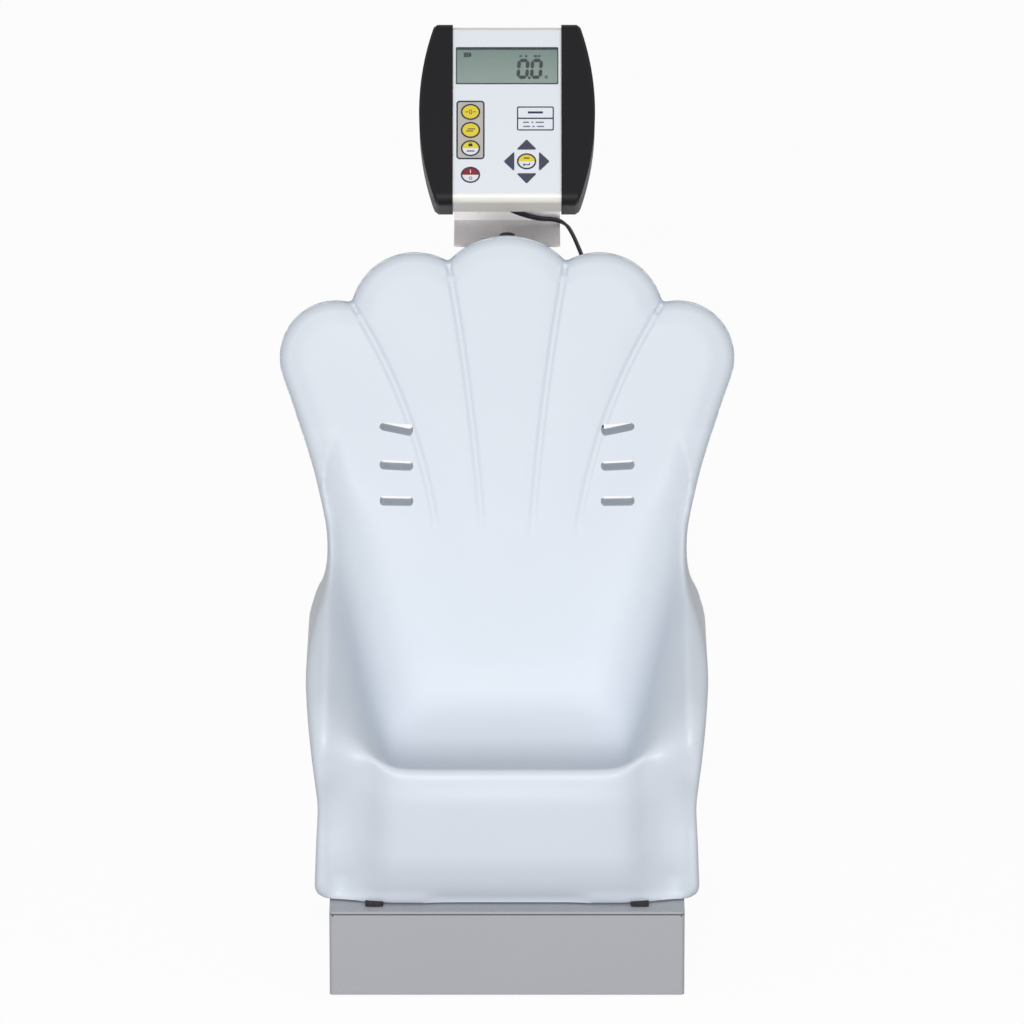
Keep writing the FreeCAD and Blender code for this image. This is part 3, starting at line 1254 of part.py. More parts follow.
def keypad_overlay():
    front = FACE_Y - OVERLAY_THICKNESS
    half = OVERLAY_HALF_WIDTH
    sheet = box(-half, half, front, FACE_Y, OVERLAY_BOTTOM, OVERLAY_TOP)
    holes = [window_hole(FIT, front, FACE_Y)]
    for name, x, z in key_places():
        holes.append(key_prism(name, x, z, front, FACE_Y, FIT))
    return sheet.cut(holes)


def lcd_window():
    return window_hole(0, FACE_Y - OVERLAY_THICKNESS, FACE_Y)


def lcd_module():
    half_x = LCD_WIDTH / 2
    half_z = LCD_HEIGHT / 2
    return box(-half_x, half_x, FACE_Y, board_front_y(), WINDOW_Z - half_z, WINDOW_Z + half_z)


def board_reach(corner_radius):
    """How far up or down the board goes inside the tube, past a front corner of this radius."""
    inside = corner_radius - HEAD_WALL
    ahead = max(FACE_Y + corner_radius - board_front_y(), 0)
    loss = inside - math.sqrt(inside ** 2 - ahead ** 2)
    return HEAD_HEIGHT / 2 - HEAD_WALL - BOARD_EDGE_PLAY / 2 - loss


def circuit_board():
    front = board_front_y()
    half = BOARD_WIDTH / 2
    board = box(-half, half, front, front + BOARD_THICKNESS,
                -board_reach(HEAD_FRONT_LOW_RADIUS), board_reach(HEAD_FRONT_TOP_RADIUS))
    switches = []
    for name, x, z in key_places():
        s = SWITCH_SIZE / 2
        switches.append(box(x - s, x + s, front - SWITCH_HEIGHT, front, z - s, z + s))
    return fuse([board] + switches)


def key(name, x, z):
    """A key cap proud of the overlay, with a plunger that reaches its switch."""
    front = FACE_Y - OVERLAY_THICKNESS - KEY_PROUD
    cap = key_prism(name, x, z, front, front + KEY_THICKNESS, 0)
    tip_y = board_front_y() - SWITCH_HEIGHT - KEY_TRAVEL - KEY_CLEAR / 2
    plunger = rod(PLUNGER_RADIUS, V(x, front + KEY_THICKNESS / 2, z), REAR, tip_y - front - KEY_THICKNESS / 2)
    return fuse([cap, plunger])


def holder_span():
    """Half-height of the battery holder."""
    return BATTERY_COUNT * BATTERY_RADIUS + HOLDER_WALL


def battery_holder():
    front = board_front_y() + BOARD_THICKNESS
    half_x = BATTERY_LENGTH / 2 + HOLDER_WALL + 1
    half_z = holder_span()
    depth = 1.3 * BATTERY_RADIUS + HOLDER_WALL
    tray = box(-half_x, half_x, front, front + depth, HOLDER_Z - half_z, HOLDER_Z + half_z)
    inside = half_x - HOLDER_WALL
    space = box(-inside, inside, front + HOLDER_WALL, front + depth,
                HOLDER_Z - half_z + HOLDER_WALL, HOLDER_Z + half_z - HOLDER_WALL)
    return tray.cut(space)


def batteries():
    cells = []
    y = board_front_y() + BOARD_THICKNESS + HOLDER_WALL + BATTERY_RADIUS
    for i in range(BATTERY_COUNT):
        z = HOLDER_Z + (2 * i + 1 - BATTERY_COUNT) * BATTERY_RADIUS
        cells.append(rod(BATTERY_RADIUS - 0.1, V(-BATTERY_LENGTH / 2, y, z), EAST, BATTERY_LENGTH))
    return Part.makeCompound(cells)


def lug_screw_places():
    x = LUG_PLATE_WIDTH / 2 - 5
    z = LUG_PLATE_HEIGHT / 2 - 6
    return [(sx * x, -PIVOT_DOWN + sz * z) for sx in (-1, 1) for sz in (-1, 1)]


def tilt_lugs():
    """Plate on the head's rear with two lugs that turn on the pivot tube."""
    rear = -FACE_Y
    half = LUG_PLATE_WIDTH / 2
    rise = LUG_PLATE_HEIGHT / 2
    plate = box(-half, half, rear, rear + LUG_PLATE, -PIVOT_DOWN - rise, -PIVOT_DOWN + rise)
    eye_y = PIVOT_LOCAL_Y
    lug = fuse([
        rod(LUG_RADIUS, V(LUG_INNER_X, eye_y, -PIVOT_DOWN), EAST, LUG_THICKNESS),
        box(LUG_INNER_X, LUG_INNER_X + LUG_THICKNESS, rear + LUG_PLATE / 2, eye_y,
            -PIVOT_DOWN - LUG_RADIUS, -PIVOT_DOWN + LUG_RADIUS)])
    lug = lug.common(box(0, half, rear + 0.5, eye_y + 2 * LUG_RADIUS, -PIVOT_DOWN - rise, -PIVOT_DOWN + rise))
    body = fuse([plate] + both_sides(lug))
    bore = rod(TUBE_RADIUS + LUG_CLEARANCE, V(-half, eye_y, -PIVOT_DOWN), EAST, 2 * half)
    cuts = [bore]
    for x, z in lug_screw_places():
        cuts.append(rod(LUG_SCREW_RADIUS + SCREW_CLEARANCE, V(x, rear, z), REAR, LUG_PLATE))
    return body.cut(cuts)


def lug_screws():
    screws = []
    rear = -FACE_Y
    for x, z in lug_screw_places():
        head = rod(LUG_HEAD_RADIUS, V(x, rear + LUG_PLATE, z), REAR, LUG_HEAD)
        shank_y = rear - HEAD_WALL
        nut = hexagon(LUG_HEAD_RADIUS, V(x, shank_y - LUG_HEAD, z), REAR, LUG_HEAD)
        shank = rod(LUG_SCREW_RADIUS, V(x, shank_y - LUG_HEAD, z), REAR, rear + LUG_PLATE - shank_y + LUG_HEAD)
        screws.append(fuse([head, shank, nut]))
    return Part.makeCompound(screws)


# ---------------------------------------------------------------- cable
def cable_points():
    """The lead's route: down behind the head, over the bracket's edge, down to the gland."""
    start = V(0, PIVOT_Y, PIVOT_Z - TUBE_RADIUS - GROMMET_LENGTH)
    end = V(GLAND_X, GLAND_FACE_Y, GLAND_Z)
    hand_set = [
        (0.0, PIVOT_Y, 722.0), (5.0, 232.0, 707.0), (17.0, 238.5, 696.5),
        (33.0, 242.0, 690.5), (49.0, 244.5, 689.8), (61.0, 247.5, 683.0),
        (67.5, 250.5, 671.0), (73.0, 253.0, 657.0), (80.0, 255.0, 639.0),
        (88.0, 257.5, 611.0), (94.0, 260.5, 570.0), (97.0, 262.0, 515.0),
        (97.5, 263.5, 455.0), (95.0, 263.0, 395.0), (91.5, 261.0, 335.0),
        (87.0, 259.5, 275.0), (83.5, 257.0, 215.0), (80.5, 255.5, 160.0),
        (79.0, 251.0, 115.0), (78.5, 243.0, 83.0), (78.5, 232.0, 62.0),
        (79.2, 218.5, 48.5), (GLAND_X, 208.0, GLAND_Z)]
    return [start] + [V(*point) for point in hand_set] + [end]


def cable_corner_radius(points, i):
    """Largest arc that the two runs beside point i allow."""
    before = points[i] - points[i - 1]
    after = points[i + 1] - points[i]
    turn = before.getAngle(after)
    return 0.45 * min(before.Length, after.Length) / math.tan(turn / 2), math.degrees(turn)


def load_cell_cable():
    points = cable_points()
    rounded = [(points[0], 0)]
    for i in range(1, len(points) - 1):
        radius, turn = cable_corner_radius(points, i)
        print("cable corner %d: turn %.1f deg, radius %.1f mm" % (i, turn, radius))
        rounded.append((points[i], radius))
    rounded.append((points[-1], 0))
    path = Part.Wire(corner_edges(rounded, closed=False))
    section = Part.Wire(Part.makeCircle(CABLE_RADIUS, points[0], points[1] - points[0]))
    cable = path.makePipeShell([section], True, False)
    print("cable length %.0f mm, volume over section %.0f mm" % (
        path.Length, cable.Volume / (math.pi * CABLE_RADIUS ** 2)))
    return cable


def main():
    os.makedirs("parts", exist_ok=True)
    pieces = {
        "base_housing": base_housing(),
        "rubber_feet": rubber_feet(),
        "foot_screws": foot_screws(),
        "base_beam": base_beam(),
        "load_cell_lower_spacer": spacer(-1, BEAM_TOP_Z),
        "load_cell": load_cell(),
        "load_cell_lower_screws": load_cell_lower_screws(),
        "overload_stops": overload_stops(),
        "cable_gland": cable_gland(),
        "column_foot_bracket": column_foot_bracket(),
        "column_foot_screws": column_foot_screws(),
        "column_cross_bolt": column_cross_bolt(),
        "column_tube": column_tube(),
        "column_cap": column_cap(),
        "pivot_bolt": pivot_bolt(),
        "head_bracket": head_bracket(),
        "pivot_tube": pivot_tube(),
        "tilt_knobs": tilt_knobs(),
        "cable_grommet": cable_grommet(),
        "load_cell_cable": load_cell_cable(),
        "load_cell_upper_spacer": spacer(1, CELL_TOP_Z),
        "load_cell_upper_screws": load_cell_upper_screws(),
        "platform_frame": platform_frame(),
        "platform_lid": platform_lid(),
        "seat_bumpers": seat_bumpers(),
        "seat_screws": seat_screws(),
        "seat_shell": seat_shell(),
    }
    head = {
        "head_extrusion": head_extrusion(),
        "left_end_cap": left_end_cap(),
        "right_end_cap": right_end_cap(),
        "cap_screws": cap_screws(),
        "keypad_overlay": keypad_overlay(),
        "lcd_window": lcd_window(),
        "lcd_module": lcd_module(),
        "circuit_board": circuit_board(),
        "battery_holder": battery_holder(),
        "batteries": batteries(),
        "tilt_lugs": tilt_lugs(),
        "lug_screws": lug_screws(),
    }
    for name, x, z in key_places():
        head[name] = key(name, x, z)
    for name, shape in head.items():
        pieces[name] = in_head(shape)
    for name, shape in pieces.items():
        shape.exportStep(os.path.join("parts", name + ".step"))


if __name__ == "__main__":
    main()
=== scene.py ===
import math

import bmesh
import bpy
import numpy as np
from mathutils import Matrix, Vector, kdtree
from mathutils.bvhtree import BVHTree


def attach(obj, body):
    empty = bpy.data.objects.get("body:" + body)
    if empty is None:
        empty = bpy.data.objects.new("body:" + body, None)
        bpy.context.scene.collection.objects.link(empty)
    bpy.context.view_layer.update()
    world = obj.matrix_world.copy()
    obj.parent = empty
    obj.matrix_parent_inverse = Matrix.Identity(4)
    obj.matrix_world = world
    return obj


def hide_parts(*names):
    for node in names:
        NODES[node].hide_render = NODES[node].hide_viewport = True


bl_info = {
    "name": "Infant chair scale",
    "version": (1, 0, 0),
    "blender": (4, 5, 0),
    "location": "View3D > Sidebar > Scale",
    "description": "Dresses the chair scale: moulded seat, printed keypad, display, lead and finishes",
    "category": "Object",
}

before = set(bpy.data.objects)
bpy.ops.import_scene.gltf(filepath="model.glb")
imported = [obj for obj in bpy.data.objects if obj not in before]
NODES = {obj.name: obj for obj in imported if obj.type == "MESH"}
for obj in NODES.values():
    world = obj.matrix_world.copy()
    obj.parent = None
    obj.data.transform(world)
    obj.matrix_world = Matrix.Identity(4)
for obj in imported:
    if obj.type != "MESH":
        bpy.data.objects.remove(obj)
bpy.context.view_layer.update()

# ---------- shared places, metres
HEAD_AT = Vector((0.0, 0.215, 0.8025))
HEAD_LEAN = math.radians(32.0)
HEAD_PLACE = Matrix.Translation(HEAD_AT) @ Matrix.Rotation(-HEAD_LEAN, 4, "X")
HEAD_UP = HEAD_PLACE.to_3x3() @ Vector((0, 0, 1))
HEAD_DEPTH = 0.050
FILM_THICK = 0.0014
KEY_PROUD = 0.0005
CASE_FACE = -HEAD_DEPTH / 2
FILM_FACE = CASE_FACE - FILM_THICK
KEY_FACE = FILM_FACE - KEY_PROUD
BACK_TOP = Vector((0.0, 0.1210, 0.7072))
BACK_RECLINE = math.radians(11.3)
BACK_THICK = 0.024
BACK_PLACE = (Matrix.Translation(BACK_TOP) @ Matrix.Rotation(-BACK_RECLINE, 4, "X")
              @ Matrix.Translation((0, 0, -BACK_TOP.z)))


def linear(red, green, blue):
    """Display colour, 0 to 255, as a linear colour."""
    values = []
    for channel in (red, green, blue):
        c = channel / 255
        values.append(c / 12.92 if c <= 0.04045 else ((c + 0.055) / 1.055) ** 2.4)
    return tuple(values)


# ---------- settings
def colour_setting(name, description, *rgb):
    return bpy.props.FloatVectorProperty(name=name, description=description, subtype="COLOR",
                                         default=linear(*rgb), min=0, max=1)


def length_setting(name, description, default, low, high):
    return bpy.props.FloatProperty(name=name, description=description, unit="LENGTH",
                                   default=default, min=low, max=high)


class ScaleSettings(bpy.types.PropertyGroup):
    seat_colour: colour_setting("Seat colour", "Moulded seat plastic", 216, 223, 232)
    base_colour: colour_setting("Base colour", "Powder coat of the base", 174, 176, 182)
    cap_colour: colour_setting("End cap colour", "Dark plastic of the head's end caps", 10, 10, 15)
    film_colour: colour_setting("Film colour", "Printed film on the head's face", 238, 243, 250)
    ink_colour: colour_setting("Ink colour", "Dark blue ink of outlines and key marks", 20, 28, 62)
    seat_voxel: length_setting("Seat mesh size", "Edge length of the seat's mesh",
                               0.0044, 0.002, 0.01)
    flute_depth: length_setting("Flute depth", "Depth of the creases between the lobes",
                                0.0014, 0, 0.006)
    flute_width: length_setting("Flute width", "Half-width of a crease", 0.0028, 0.001, 0.01)
    lobe_swell: length_setting("Lobe swell", "How far a lobe falls towards its edges",
                               0.0024, 0, 0.01)
    valley_depth: length_setting("Valley depth", "Depth of the valleys between apron and arms",
                                 0.016, 0, 0.04)
    corner_depth: length_setting("Corner depth", "How far the front falls back at its corners",
                                 0.036, 0, 0.06)
    arm_rise: length_setting("Arm rise", "How far the arms' rims stand above the bucket's walls",
                             0.008, 0, 0.02)
    rim_roll: length_setting("Rim roll", "How far the front rolls under at the rim",
                             0.017, 0, 0.03)
    bucket_softness: bpy.props.IntProperty(
        name="Bucket softness", description="Smoothing passes over the inside of the bucket",
        default=130, min=0, max=600)
    ink_line: length_setting("Ink line", "Width of the printed outlines", 0.0016, 0.0003, 0.004)
    digit_height: length_setting("Digit height", "Height of the digits, middle to middle of strokes",
                                 0.0178, 0.005, 0.04)
    lead_width: length_setting("Lead width", "Width of the flat twin lead", 0.0066, 0.002, 0.01)
    light_level: bpy.props.FloatProperty(
        name="Light level", description="Strength of the world's light",
        default=0.42, min=0, max=4)


def settings():
    return bpy.context.scene.chair_scale


# ---------- meshes
def new_object(name, mesh):
    obj = bpy.data.objects.new(name, mesh)
    bpy.context.scene.collection.objects.link(obj)
    return obj


def mesh_from(bm, name):
    mesh = bpy.data.meshes.new(name)
    bm.to_mesh(mesh)
    bm.free()
    return mesh


def take_in(bm, mesh):
    """Add a mesh to the bmesh and drop it."""
    bm.from_mesh(mesh)
    bpy.data.meshes.remove(mesh)


def baked(obj, name):
    """The evaluated mesh of an object, as a plain mesh in a new object; the old object goes."""
    bpy.context.view_layer.update()
    evaluated = obj.evaluated_get(bpy.context.evaluated_depsgraph_get())
    mesh = bpy.data.meshes.new_from_object(evaluated)
    bpy.data.objects.remove(obj)
    mesh.name = name
    return new_object(name, mesh)


def cut_by(obj, cutter, name):
    """The object less the cutter, as a plain mesh; the cutter goes."""
    cut = obj.modifiers.new("cut", "BOOLEAN")
    cut.operation = "DIFFERENCE"
    cut.object = cutter
    cut.solver = "EXACT"
    obj = baked(obj, name)
    bpy.data.objects.remove(cutter)
    return obj


def finish_with(obj, material):
    obj.data.materials.clear()
    obj.data.materials.append(material)


def smooth_shade(obj, angle):
    """Smooth shading with edges sharper than the angle kept crisp."""
    mesh = obj.data
    mesh.polygons.foreach_set("use_smooth", np.ones(len(mesh.polygons), bool))
    bm = bmesh.new()
    bm.from_mesh(mesh)
    for edge in bm.edges:
        edge.smooth = not (edge.is_manifold and edge.calc_face_angle(0) > math.radians(angle))
    bm.to_mesh(mesh)
    bm.free()


def rounded(x, z, half_width, half_height, corner, steps=2):
    """Rounded rectangle about a place of the face, as (x, z) points."""
    points = []
    for cx, cz, first in ((1, 1, 0), (-1, 1, 90), (-1, -1, 180), (1, -1, 270)):
        for i in range(steps + 1):
            turn = math.radians(first + 90 * i / steps)
            points.append((cx * (half_width - corner) + corner * math.cos(turn) + x,
                           cz * (half_height - corner) + corner * math.sin(turn) + z))
    return points


def oval(x, z, half_width, half_height, steps=48):
    turns = [math.tau * i / steps for i in range(steps)]
    return [(half_width * math.cos(t) + x, half_height * math.sin(t) + z) for t in turns]


def plate(bm, loop, front, rear):
    """Solid plate between two planes that face -Y."""
    near = [bm.verts.new((x, front, z)) for x, z in loop]
    far = [bm.verts.new((x, rear, z)) for x, z in loop]
    count = len(loop)
    bm.faces.new(near)
    bm.faces.new(list(reversed(far)))
    for i in range(count):
        j = (i + 1) % count
        bm.faces.new((near[i], far[i], far[j], near[j]))


def ring(bm, outer, inner, front, rear):
    """Closed ring between two loops with as many points each."""
    count = len(outer)
    rows = []
    for loop, y in ((outer, front), (inner, front), (inner, rear), (outer, rear)):
        rows.append([bm.verts.new((x, y, z)) for x, z in loop])
    for i in range(count):
        j = (i + 1) % count
        for a, b in ((0, 1), (1, 2), (2, 3), (3, 0)):
            bm.faces.new((rows[a][i], rows[b][i], rows[b][j], rows[a][j]))


def outward(bm):
    bmesh.ops.recalc_face_normals(bm, faces=bm.faces)


def plates_mesh(name, loops, front, rear):
    """Mesh of one plate for each loop, between the same two planes."""
    bm = bmesh.new()
    for loop in loops:
        plate(bm, loop, front, rear)
    outward(bm)
    return mesh_from(bm, name)


def head_piece(bm, name, material):
    """A piece drawn on the upright head, leant back and fixed to it."""
    outward(bm)
    mesh = mesh_from(bm, name)
    mesh.transform(HEAD_PLACE)
    obj = new_object(name, mesh)
    finish_with(obj, material)
    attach(obj, "head")
    return obj


# ---------- materials
def node(tree, kind, x=0, y=0, **values):
    made = tree.nodes.new(kind)
    made.location = (x, y)
    for key, value in values.items():
        setattr(made, key, value)
    return made


def fill(made, values):
    """Set inputs of a node by their labels."""
    for label, value in values.items():
        made.inputs[label].default_value = value


def wire(tree, *routes):
    """Link nodes: each route is a node, its output, another node and its input."""
    for source, output, target, socket in routes:
        tree.links.new(source.outputs[output], target.inputs[socket])


def grain_group():
    """Shared group: a fine height and a slow mask, from noise on Object coordinates."""
    tree = bpy.data.node_groups.get("surface_grain")
    if tree:
        return tree
    tree = bpy.data.node_groups.new("surface_grain", "ShaderNodeTree")
    for label, default in (("Scale", 900.0), ("Detail", 3.0), ("Cloud scale", 9.0)):
        socket = tree.interface.new_socket(label, in_out="INPUT", socket_type="NodeSocketFloat")
        socket.default_value = default
    for label in ("Height", "Clouds"):
        tree.interface.new_socket(label, in_out="OUTPUT", socket_type="NodeSocketFloat")
    source = node(tree, "NodeGroupInput", -900)
    sink = node(tree, "NodeGroupOutput", 700)
    place = node(tree, "ShaderNodeTexCoord", -900, -250)
    grain = node(tree, "ShaderNodeTexNoise", -500, 100)
    clouds = node(tree, "ShaderNodeTexNoise", -500, -250)
    fill(clouds, {"Detail": 2})
    wire(tree,
         (place, "Object", grain, "Vector"), (place, "Object", clouds, "Vector"),
         (source, "Scale", grain, "Scale"), (source, "Detail", grain, "Detail"),
         (source, "Cloud scale", clouds, "Scale"),
         (grain, "Fac", sink, "Height"), (clouds, "Fac", sink, "Clouds"))
    return tree


def shader(name, colour, roughness, metallic=0.0, grain=900.0, bump=0.04, tint=0.04,
           rough_play=0.06, specular=0.5, cloud=9.0):
    """Principled material with grain in its bump, and slow variation in colour and gloss."""
    material = bpy.data.materials.new(name)
    material.use_nodes = True
    tree = material.node_tree
    bsdf = tree.nodes["Principled BSDF"]
    fill(bsdf, {"Metallic": metallic, "Specular IOR Level": specular})
    surface = node(tree, "ShaderNodeGroup", -900, 0, node_tree=grain_group())
    fill(surface, {"Scale": grain, "Cloud scale": cloud})
    shade = node(tree, "ShaderNodeMapRange", -650, 200)
    fill(shade, {"To Min": 1 - tint, "To Max": 1 + tint})
    paint = node(tree, "ShaderNodeMix", -400, 250, data_type="RGBA", blend_type="MULTIPLY",
                 name="paint")
    fill(paint, {"Factor": 1.0, "A": (*colour, 1.0)})
    gloss = node(tree, "ShaderNodeMapRange", -400, -50)
    fill(gloss, {"To Min": roughness - rough_play, "To Max": roughness + rough_play})
    relief = node(tree, "ShaderNodeBump", -250, -300)
    fill(relief, {"Strength": bump, "Distance": 0.001})
    wire(tree,
         (surface, "Clouds", shade, "Value"), (shade, "Result", paint, "B"),
         (paint, "Result", bsdf, "Base Color"), (surface, "Clouds", gloss, "Value"),
         (gloss, "Result", bsdf, "Roughness"), (surface, "Height", relief, "Height"),
         (relief, "Normal", bsdf, "Normal"))
    return material


def flat_print(name, colour, roughness=0.4):
    """Finish of a thin print that has no grain of its own."""
    return shader(name, colour, roughness, bump=0.0, tint=0.01)


def key_print(name, colour):
    return shader(name, colour, 0.35, grain=1500.0, bump=0.01, tint=0.02)


def up_the_face(tree):
    """Node whose Value is the place along the head's face, measured upwards."""
    place = node(tree, "ShaderNodeTexCoord", -1300, 600)
    dot = node(tree, "ShaderNodeVectorMath", -1100, 600, operation="DOT_PRODUCT")
    dot.inputs[1].default_value = HEAD_UP
    wire(tree, (place, "Object", dot, 0))
    return dot


def height_up(z):
    """What up_the_face gives at a height of the upright head."""
    return (HEAD_PLACE @ Vector((0, 0, z))).dot(HEAD_UP)


def halved_key(name, upper, lower, z):
    """Key print in two colours, split across the middle of the key at height z."""
    material = key_print(name, upper)
    tree = material.node_tree
    side = node(tree, "ShaderNodeMath", -700, 600, operation="GREATER_THAN")
    side.inputs[1].default_value = height_up(z)
    halves = node(tree, "ShaderNodeMix", -500, 600, data_type="RGBA")
    fill(halves, {"A": (*lower, 1.0), "B": (*upper, 1.0)})
    wire(tree, (up_the_face(tree), "Value", side, 0), (side, "Value", halves, "Factor"),
         (halves, "Result", tree.nodes["paint"], "A"))
    return material


def display_grey():
    """Grey-green of an unlit display, darker towards the top: painted shade under the window's upper
    edge.
    """
    material = shader("display_back", linear(132, 152, 146), 0.5, grain=800.0, bump=0.01,
                      tint=0.02)
    tree = material.node_tree
    middle = height_up(DISPLAY_Z)
    span = node(tree, "ShaderNodeMapRange", -900, 600)
    fill(span, {"From Min": middle - 0.0195, "From Max": middle + 0.0195})
    # lighter at the bottom, darker at the top: painted shade
    ramp = node(tree, "ShaderNodeValToRGB", -700, 600)
    ramp.color_ramp.elements[0].color = (*linear(146, 163, 156), 1)
    ramp.color_ramp.elements[1].color = (*linear(112, 134, 128), 1)
    wire(tree, (up_the_face(tree), "Value", span, "Value"), (span, "Result", ramp, "Fac"),
         (ramp, "Color", tree.nodes["paint"], "A"))
    return material


def clear_pane():
    material = bpy.data.materials.new("clear_pane")
    material.use_nodes = True
    material.surface_render_method = "BLENDED"
    fill(material.node_tree.nodes["Principled BSDF"],
         {"Base Color": (0.75, 0.82, 0.8, 1), "Roughness": 0.06, "Alpha": 0.05})
    return material


def paint_nodes(material, *names):
    for name in names:
        finish_with(NODES[name], material)


# ---------- camera
CAMERA_AT = (0.005, -9.5657, 3.5624)
CAMERA_TILT = math.radians(72.0)
CAMERA_LENS = 351.56


class SCALE_OT_camera(bpy.types.Operator):
    """Camera in front of the scale, far away and a little above"""
    bl_idname = "scale.camera"
    bl_label = "Camera"

    def execute(self, context):
        data = bpy.data.cameras.new("front_camera")
        data.sensor_width = 36.0
        data.lens = CAMERA_LENS
        data.clip_end = 60.0
        camera = bpy.data.objects.new("front_camera", data)
        camera.location = CAMERA_AT
        camera.rotation_euler = (CAMERA_TILT, 0, 0)
        context.scene.collection.objects.link(camera)
        context.scene.camera = camera
        return {"FINISHED"}


# ---------- lead
# route from the grommet under the pivot to the gland on the base, metres
PIVOT = Vector((0.0, 0.225987, 0.747996))
LEAD_ROUTE = [
    (0.0, PIVOT.y, PIVOT.z - 0.013),
    (0.0, PIVOT.y, 0.7220), (0.0004, 0.2320, 0.7055), (0.0110, 0.2385, 0.6980),
    (0.0330, 0.2420, 0.6905), (0.0490, 0.2445, 0.6898), (0.0610, 0.2475, 0.6830),
    (0.0675, 0.2505, 0.6710), (0.0730, 0.2530, 0.6570), (0.0800, 0.2550, 0.6390),
    (0.0880, 0.2575, 0.6110), (0.0940, 0.2605, 0.5700), (0.0970, 0.2620, 0.5150),
    (0.0975, 0.2635, 0.4550), (0.0950, 0.2630, 0.3950), (0.0915, 0.2610, 0.3350),
    (0.0870, 0.2595, 0.2750), (0.0835, 0.2570, 0.2150), (0.0805, 0.2555, 0.1600),
    (0.0790, 0.2510, 0.1150), (0.0785, 0.2430, 0.0830), (0.0785, 0.2320, 0.0620),
    (0.0792, 0.2185, 0.0485), (0.0800, 0.2080, 0.0440), (0.0800, 0.1948, 0.0440)]
# turn about its own line at distances along it: flat on the plate, twisted over its edge
LEAD_TWIST = [(0.0, 0.0), (0.05, 0.1), (0.085, 0.3), (0.105, 1.4), (0.13, 1.5), (0.16, 0.9),
              (0.8, 0.4)]
# degrees to either side that a round core of the section runs before it meets the web
CORE_TURN = 146
CORE_STEPS = 10


def route_points():
    """Points along the lead's smooth line, read from its curve."""
    curve = bpy.data.curves.new("lead_line", "CURVE")
    curve.dimensions = "3D"
    curve.resolution_u = 12
    line = curve.splines.new("NURBS")
    line.points.add(len(LEAD_ROUTE) - 1)
    for point, place in zip(line.points, LEAD_ROUTE):
        point.co = (*place, 1.0)
    line.order_u = 3
    line.use_endpoint_u = True
    holder = new_object("lead_line", curve)
    mesh = bpy.data.meshes.new_from_object(holder)
    points = [vertex.co.copy() for vertex in mesh.vertices]
    bpy.data.meshes.remove(mesh)
    bpy.data.objects.remove(holder)
    return points


def lead_section(width):
    """Two round cores side by side, joined by a thin web."""
    core = width / 4
    points = []
    for side in (1, -1):
        for i in range(CORE_STEPS + 1):
            turn = math.radians(-CORE_TURN + 2 * CORE_TURN * i / CORE_STEPS)
            points.append((side * (core + core * math.cos(turn)), side * core * math.sin(turn)))
    return points


def twist_at(travelled):
    for (a, low), (b, high) in zip(LEAD_TWIST, LEAD_TWIST[1:]):
        if travelled <= b:
            share = (travelled - a) / (b - a)
            return low + (high - low) * share * share * (3 - 2 * share)
    return LEAD_TWIST[-1][1]


def lead_mesh(points, section):
    """The section drawn along the points, twisting as the lead does, with closed ends."""
    bm = bmesh.new()
    rows = []
    across = Vector((1, 0, 0))
    travelled = 0.0
    for i, point in enumerate(points):
        before = points[max(i - 1, 0)]
        after = points[min(i + 1, len(points) - 1)]
        if i:
            travelled += (point - before).length
        along = (after - before).normalized()
        across = (across - along * across.dot(along)).normalized()
        side = Matrix.Rotation(twist_at(travelled), 3, along) @ across
        lift = along.cross(side)
        rows.append([bm.verts.new(point + side * x + lift * y) for x, y in section])
    count = len(section)
    for low, high in zip(rows, rows[1:]):
        for i in range(count):
            j = (i + 1) % count
            bm.faces.new((low[i], low[j], high[j], high[i]))
    for row in (rows[0], rows[-1]):
        bm.faces.new(row)
    outward(bm)
    return mesh_from(bm, "lead")


class SCALE_OT_lead(bpy.types.Operator):
    """Flat twin lead from the head, over the bracket, to the gland on the base"""
    bl_idname = "scale.lead"
    bl_label = "Lead"

    def execute(self, context):
        points = route_points()
        lead = new_object("lead", lead_mesh(points, lead_section(settings().lead_width)))
        smooth_shade(lead, 60)
        finish_with(lead, shader("lead_jacket", linear(30, 30, 38), 0.42, grain=500.0,
                                 bump=0.05))
        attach(lead, "base")
        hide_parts("load_cell_cable")
        return {"FINISHED"}


# ---------- seat
# places on the upright back before it leans: x, z in metres
NOTCHES = [(0.0595, 0.6810), (0.1570, 0.6392)]
FLUTES = [
    (NOTCHES[0], (0.0358, 0.5220), (0.0240, 0.3900)),
    (NOTCHES[1], (0.1015, 0.5270), (0.0692, 0.3900))]
FLUTE_STEPS = 90
# right half of the slab that closes the back's grooves and slots, just inside its outline
FILLER = [
    (0.0, 0.694), (0.035, 0.686), (0.055, 0.667), (0.064, 0.667), (0.093, 0.677),
    (0.125, 0.664), (0.145, 0.639), (0.152, 0.626), (0.165, 0.624), (0.185, 0.622),
    (0.205, 0.607), (0.216, 0.585), (0.212, 0.560), (0.190, 0.500), (0.165, 0.440),
    (0.160, 0.375)]
# strap slots: height, droop in degrees and how much an end is taller than the middle
SLOTS = [(0.4438, 1.0, 0.0), (0.4794, 3.0, 0.0), (0.5162, 8.0, 0.0011)]
SLOT_X = 0.112
SLOT_SIZE = (0.034, 0.0095)

# front of the seat: planes and lines, in metres
RIM_Z = 0.1035
RIM_LOWEST = 0.0934
ROLL_TOP = 0.150
CROWN_Y = -0.1768
CROWN_FALL = 0.004
SEAT_HALF = 0.19
VALLEY_X = 0.161
VALLEY_INNER = 0.032
VALLEY_OUTER = 0.015
ARM_RIM_X = 0.179
ARM_RIM_HALF = 0.010
# how far the rim comes down for each metre that it goes back
RIM_DROP = 0.325
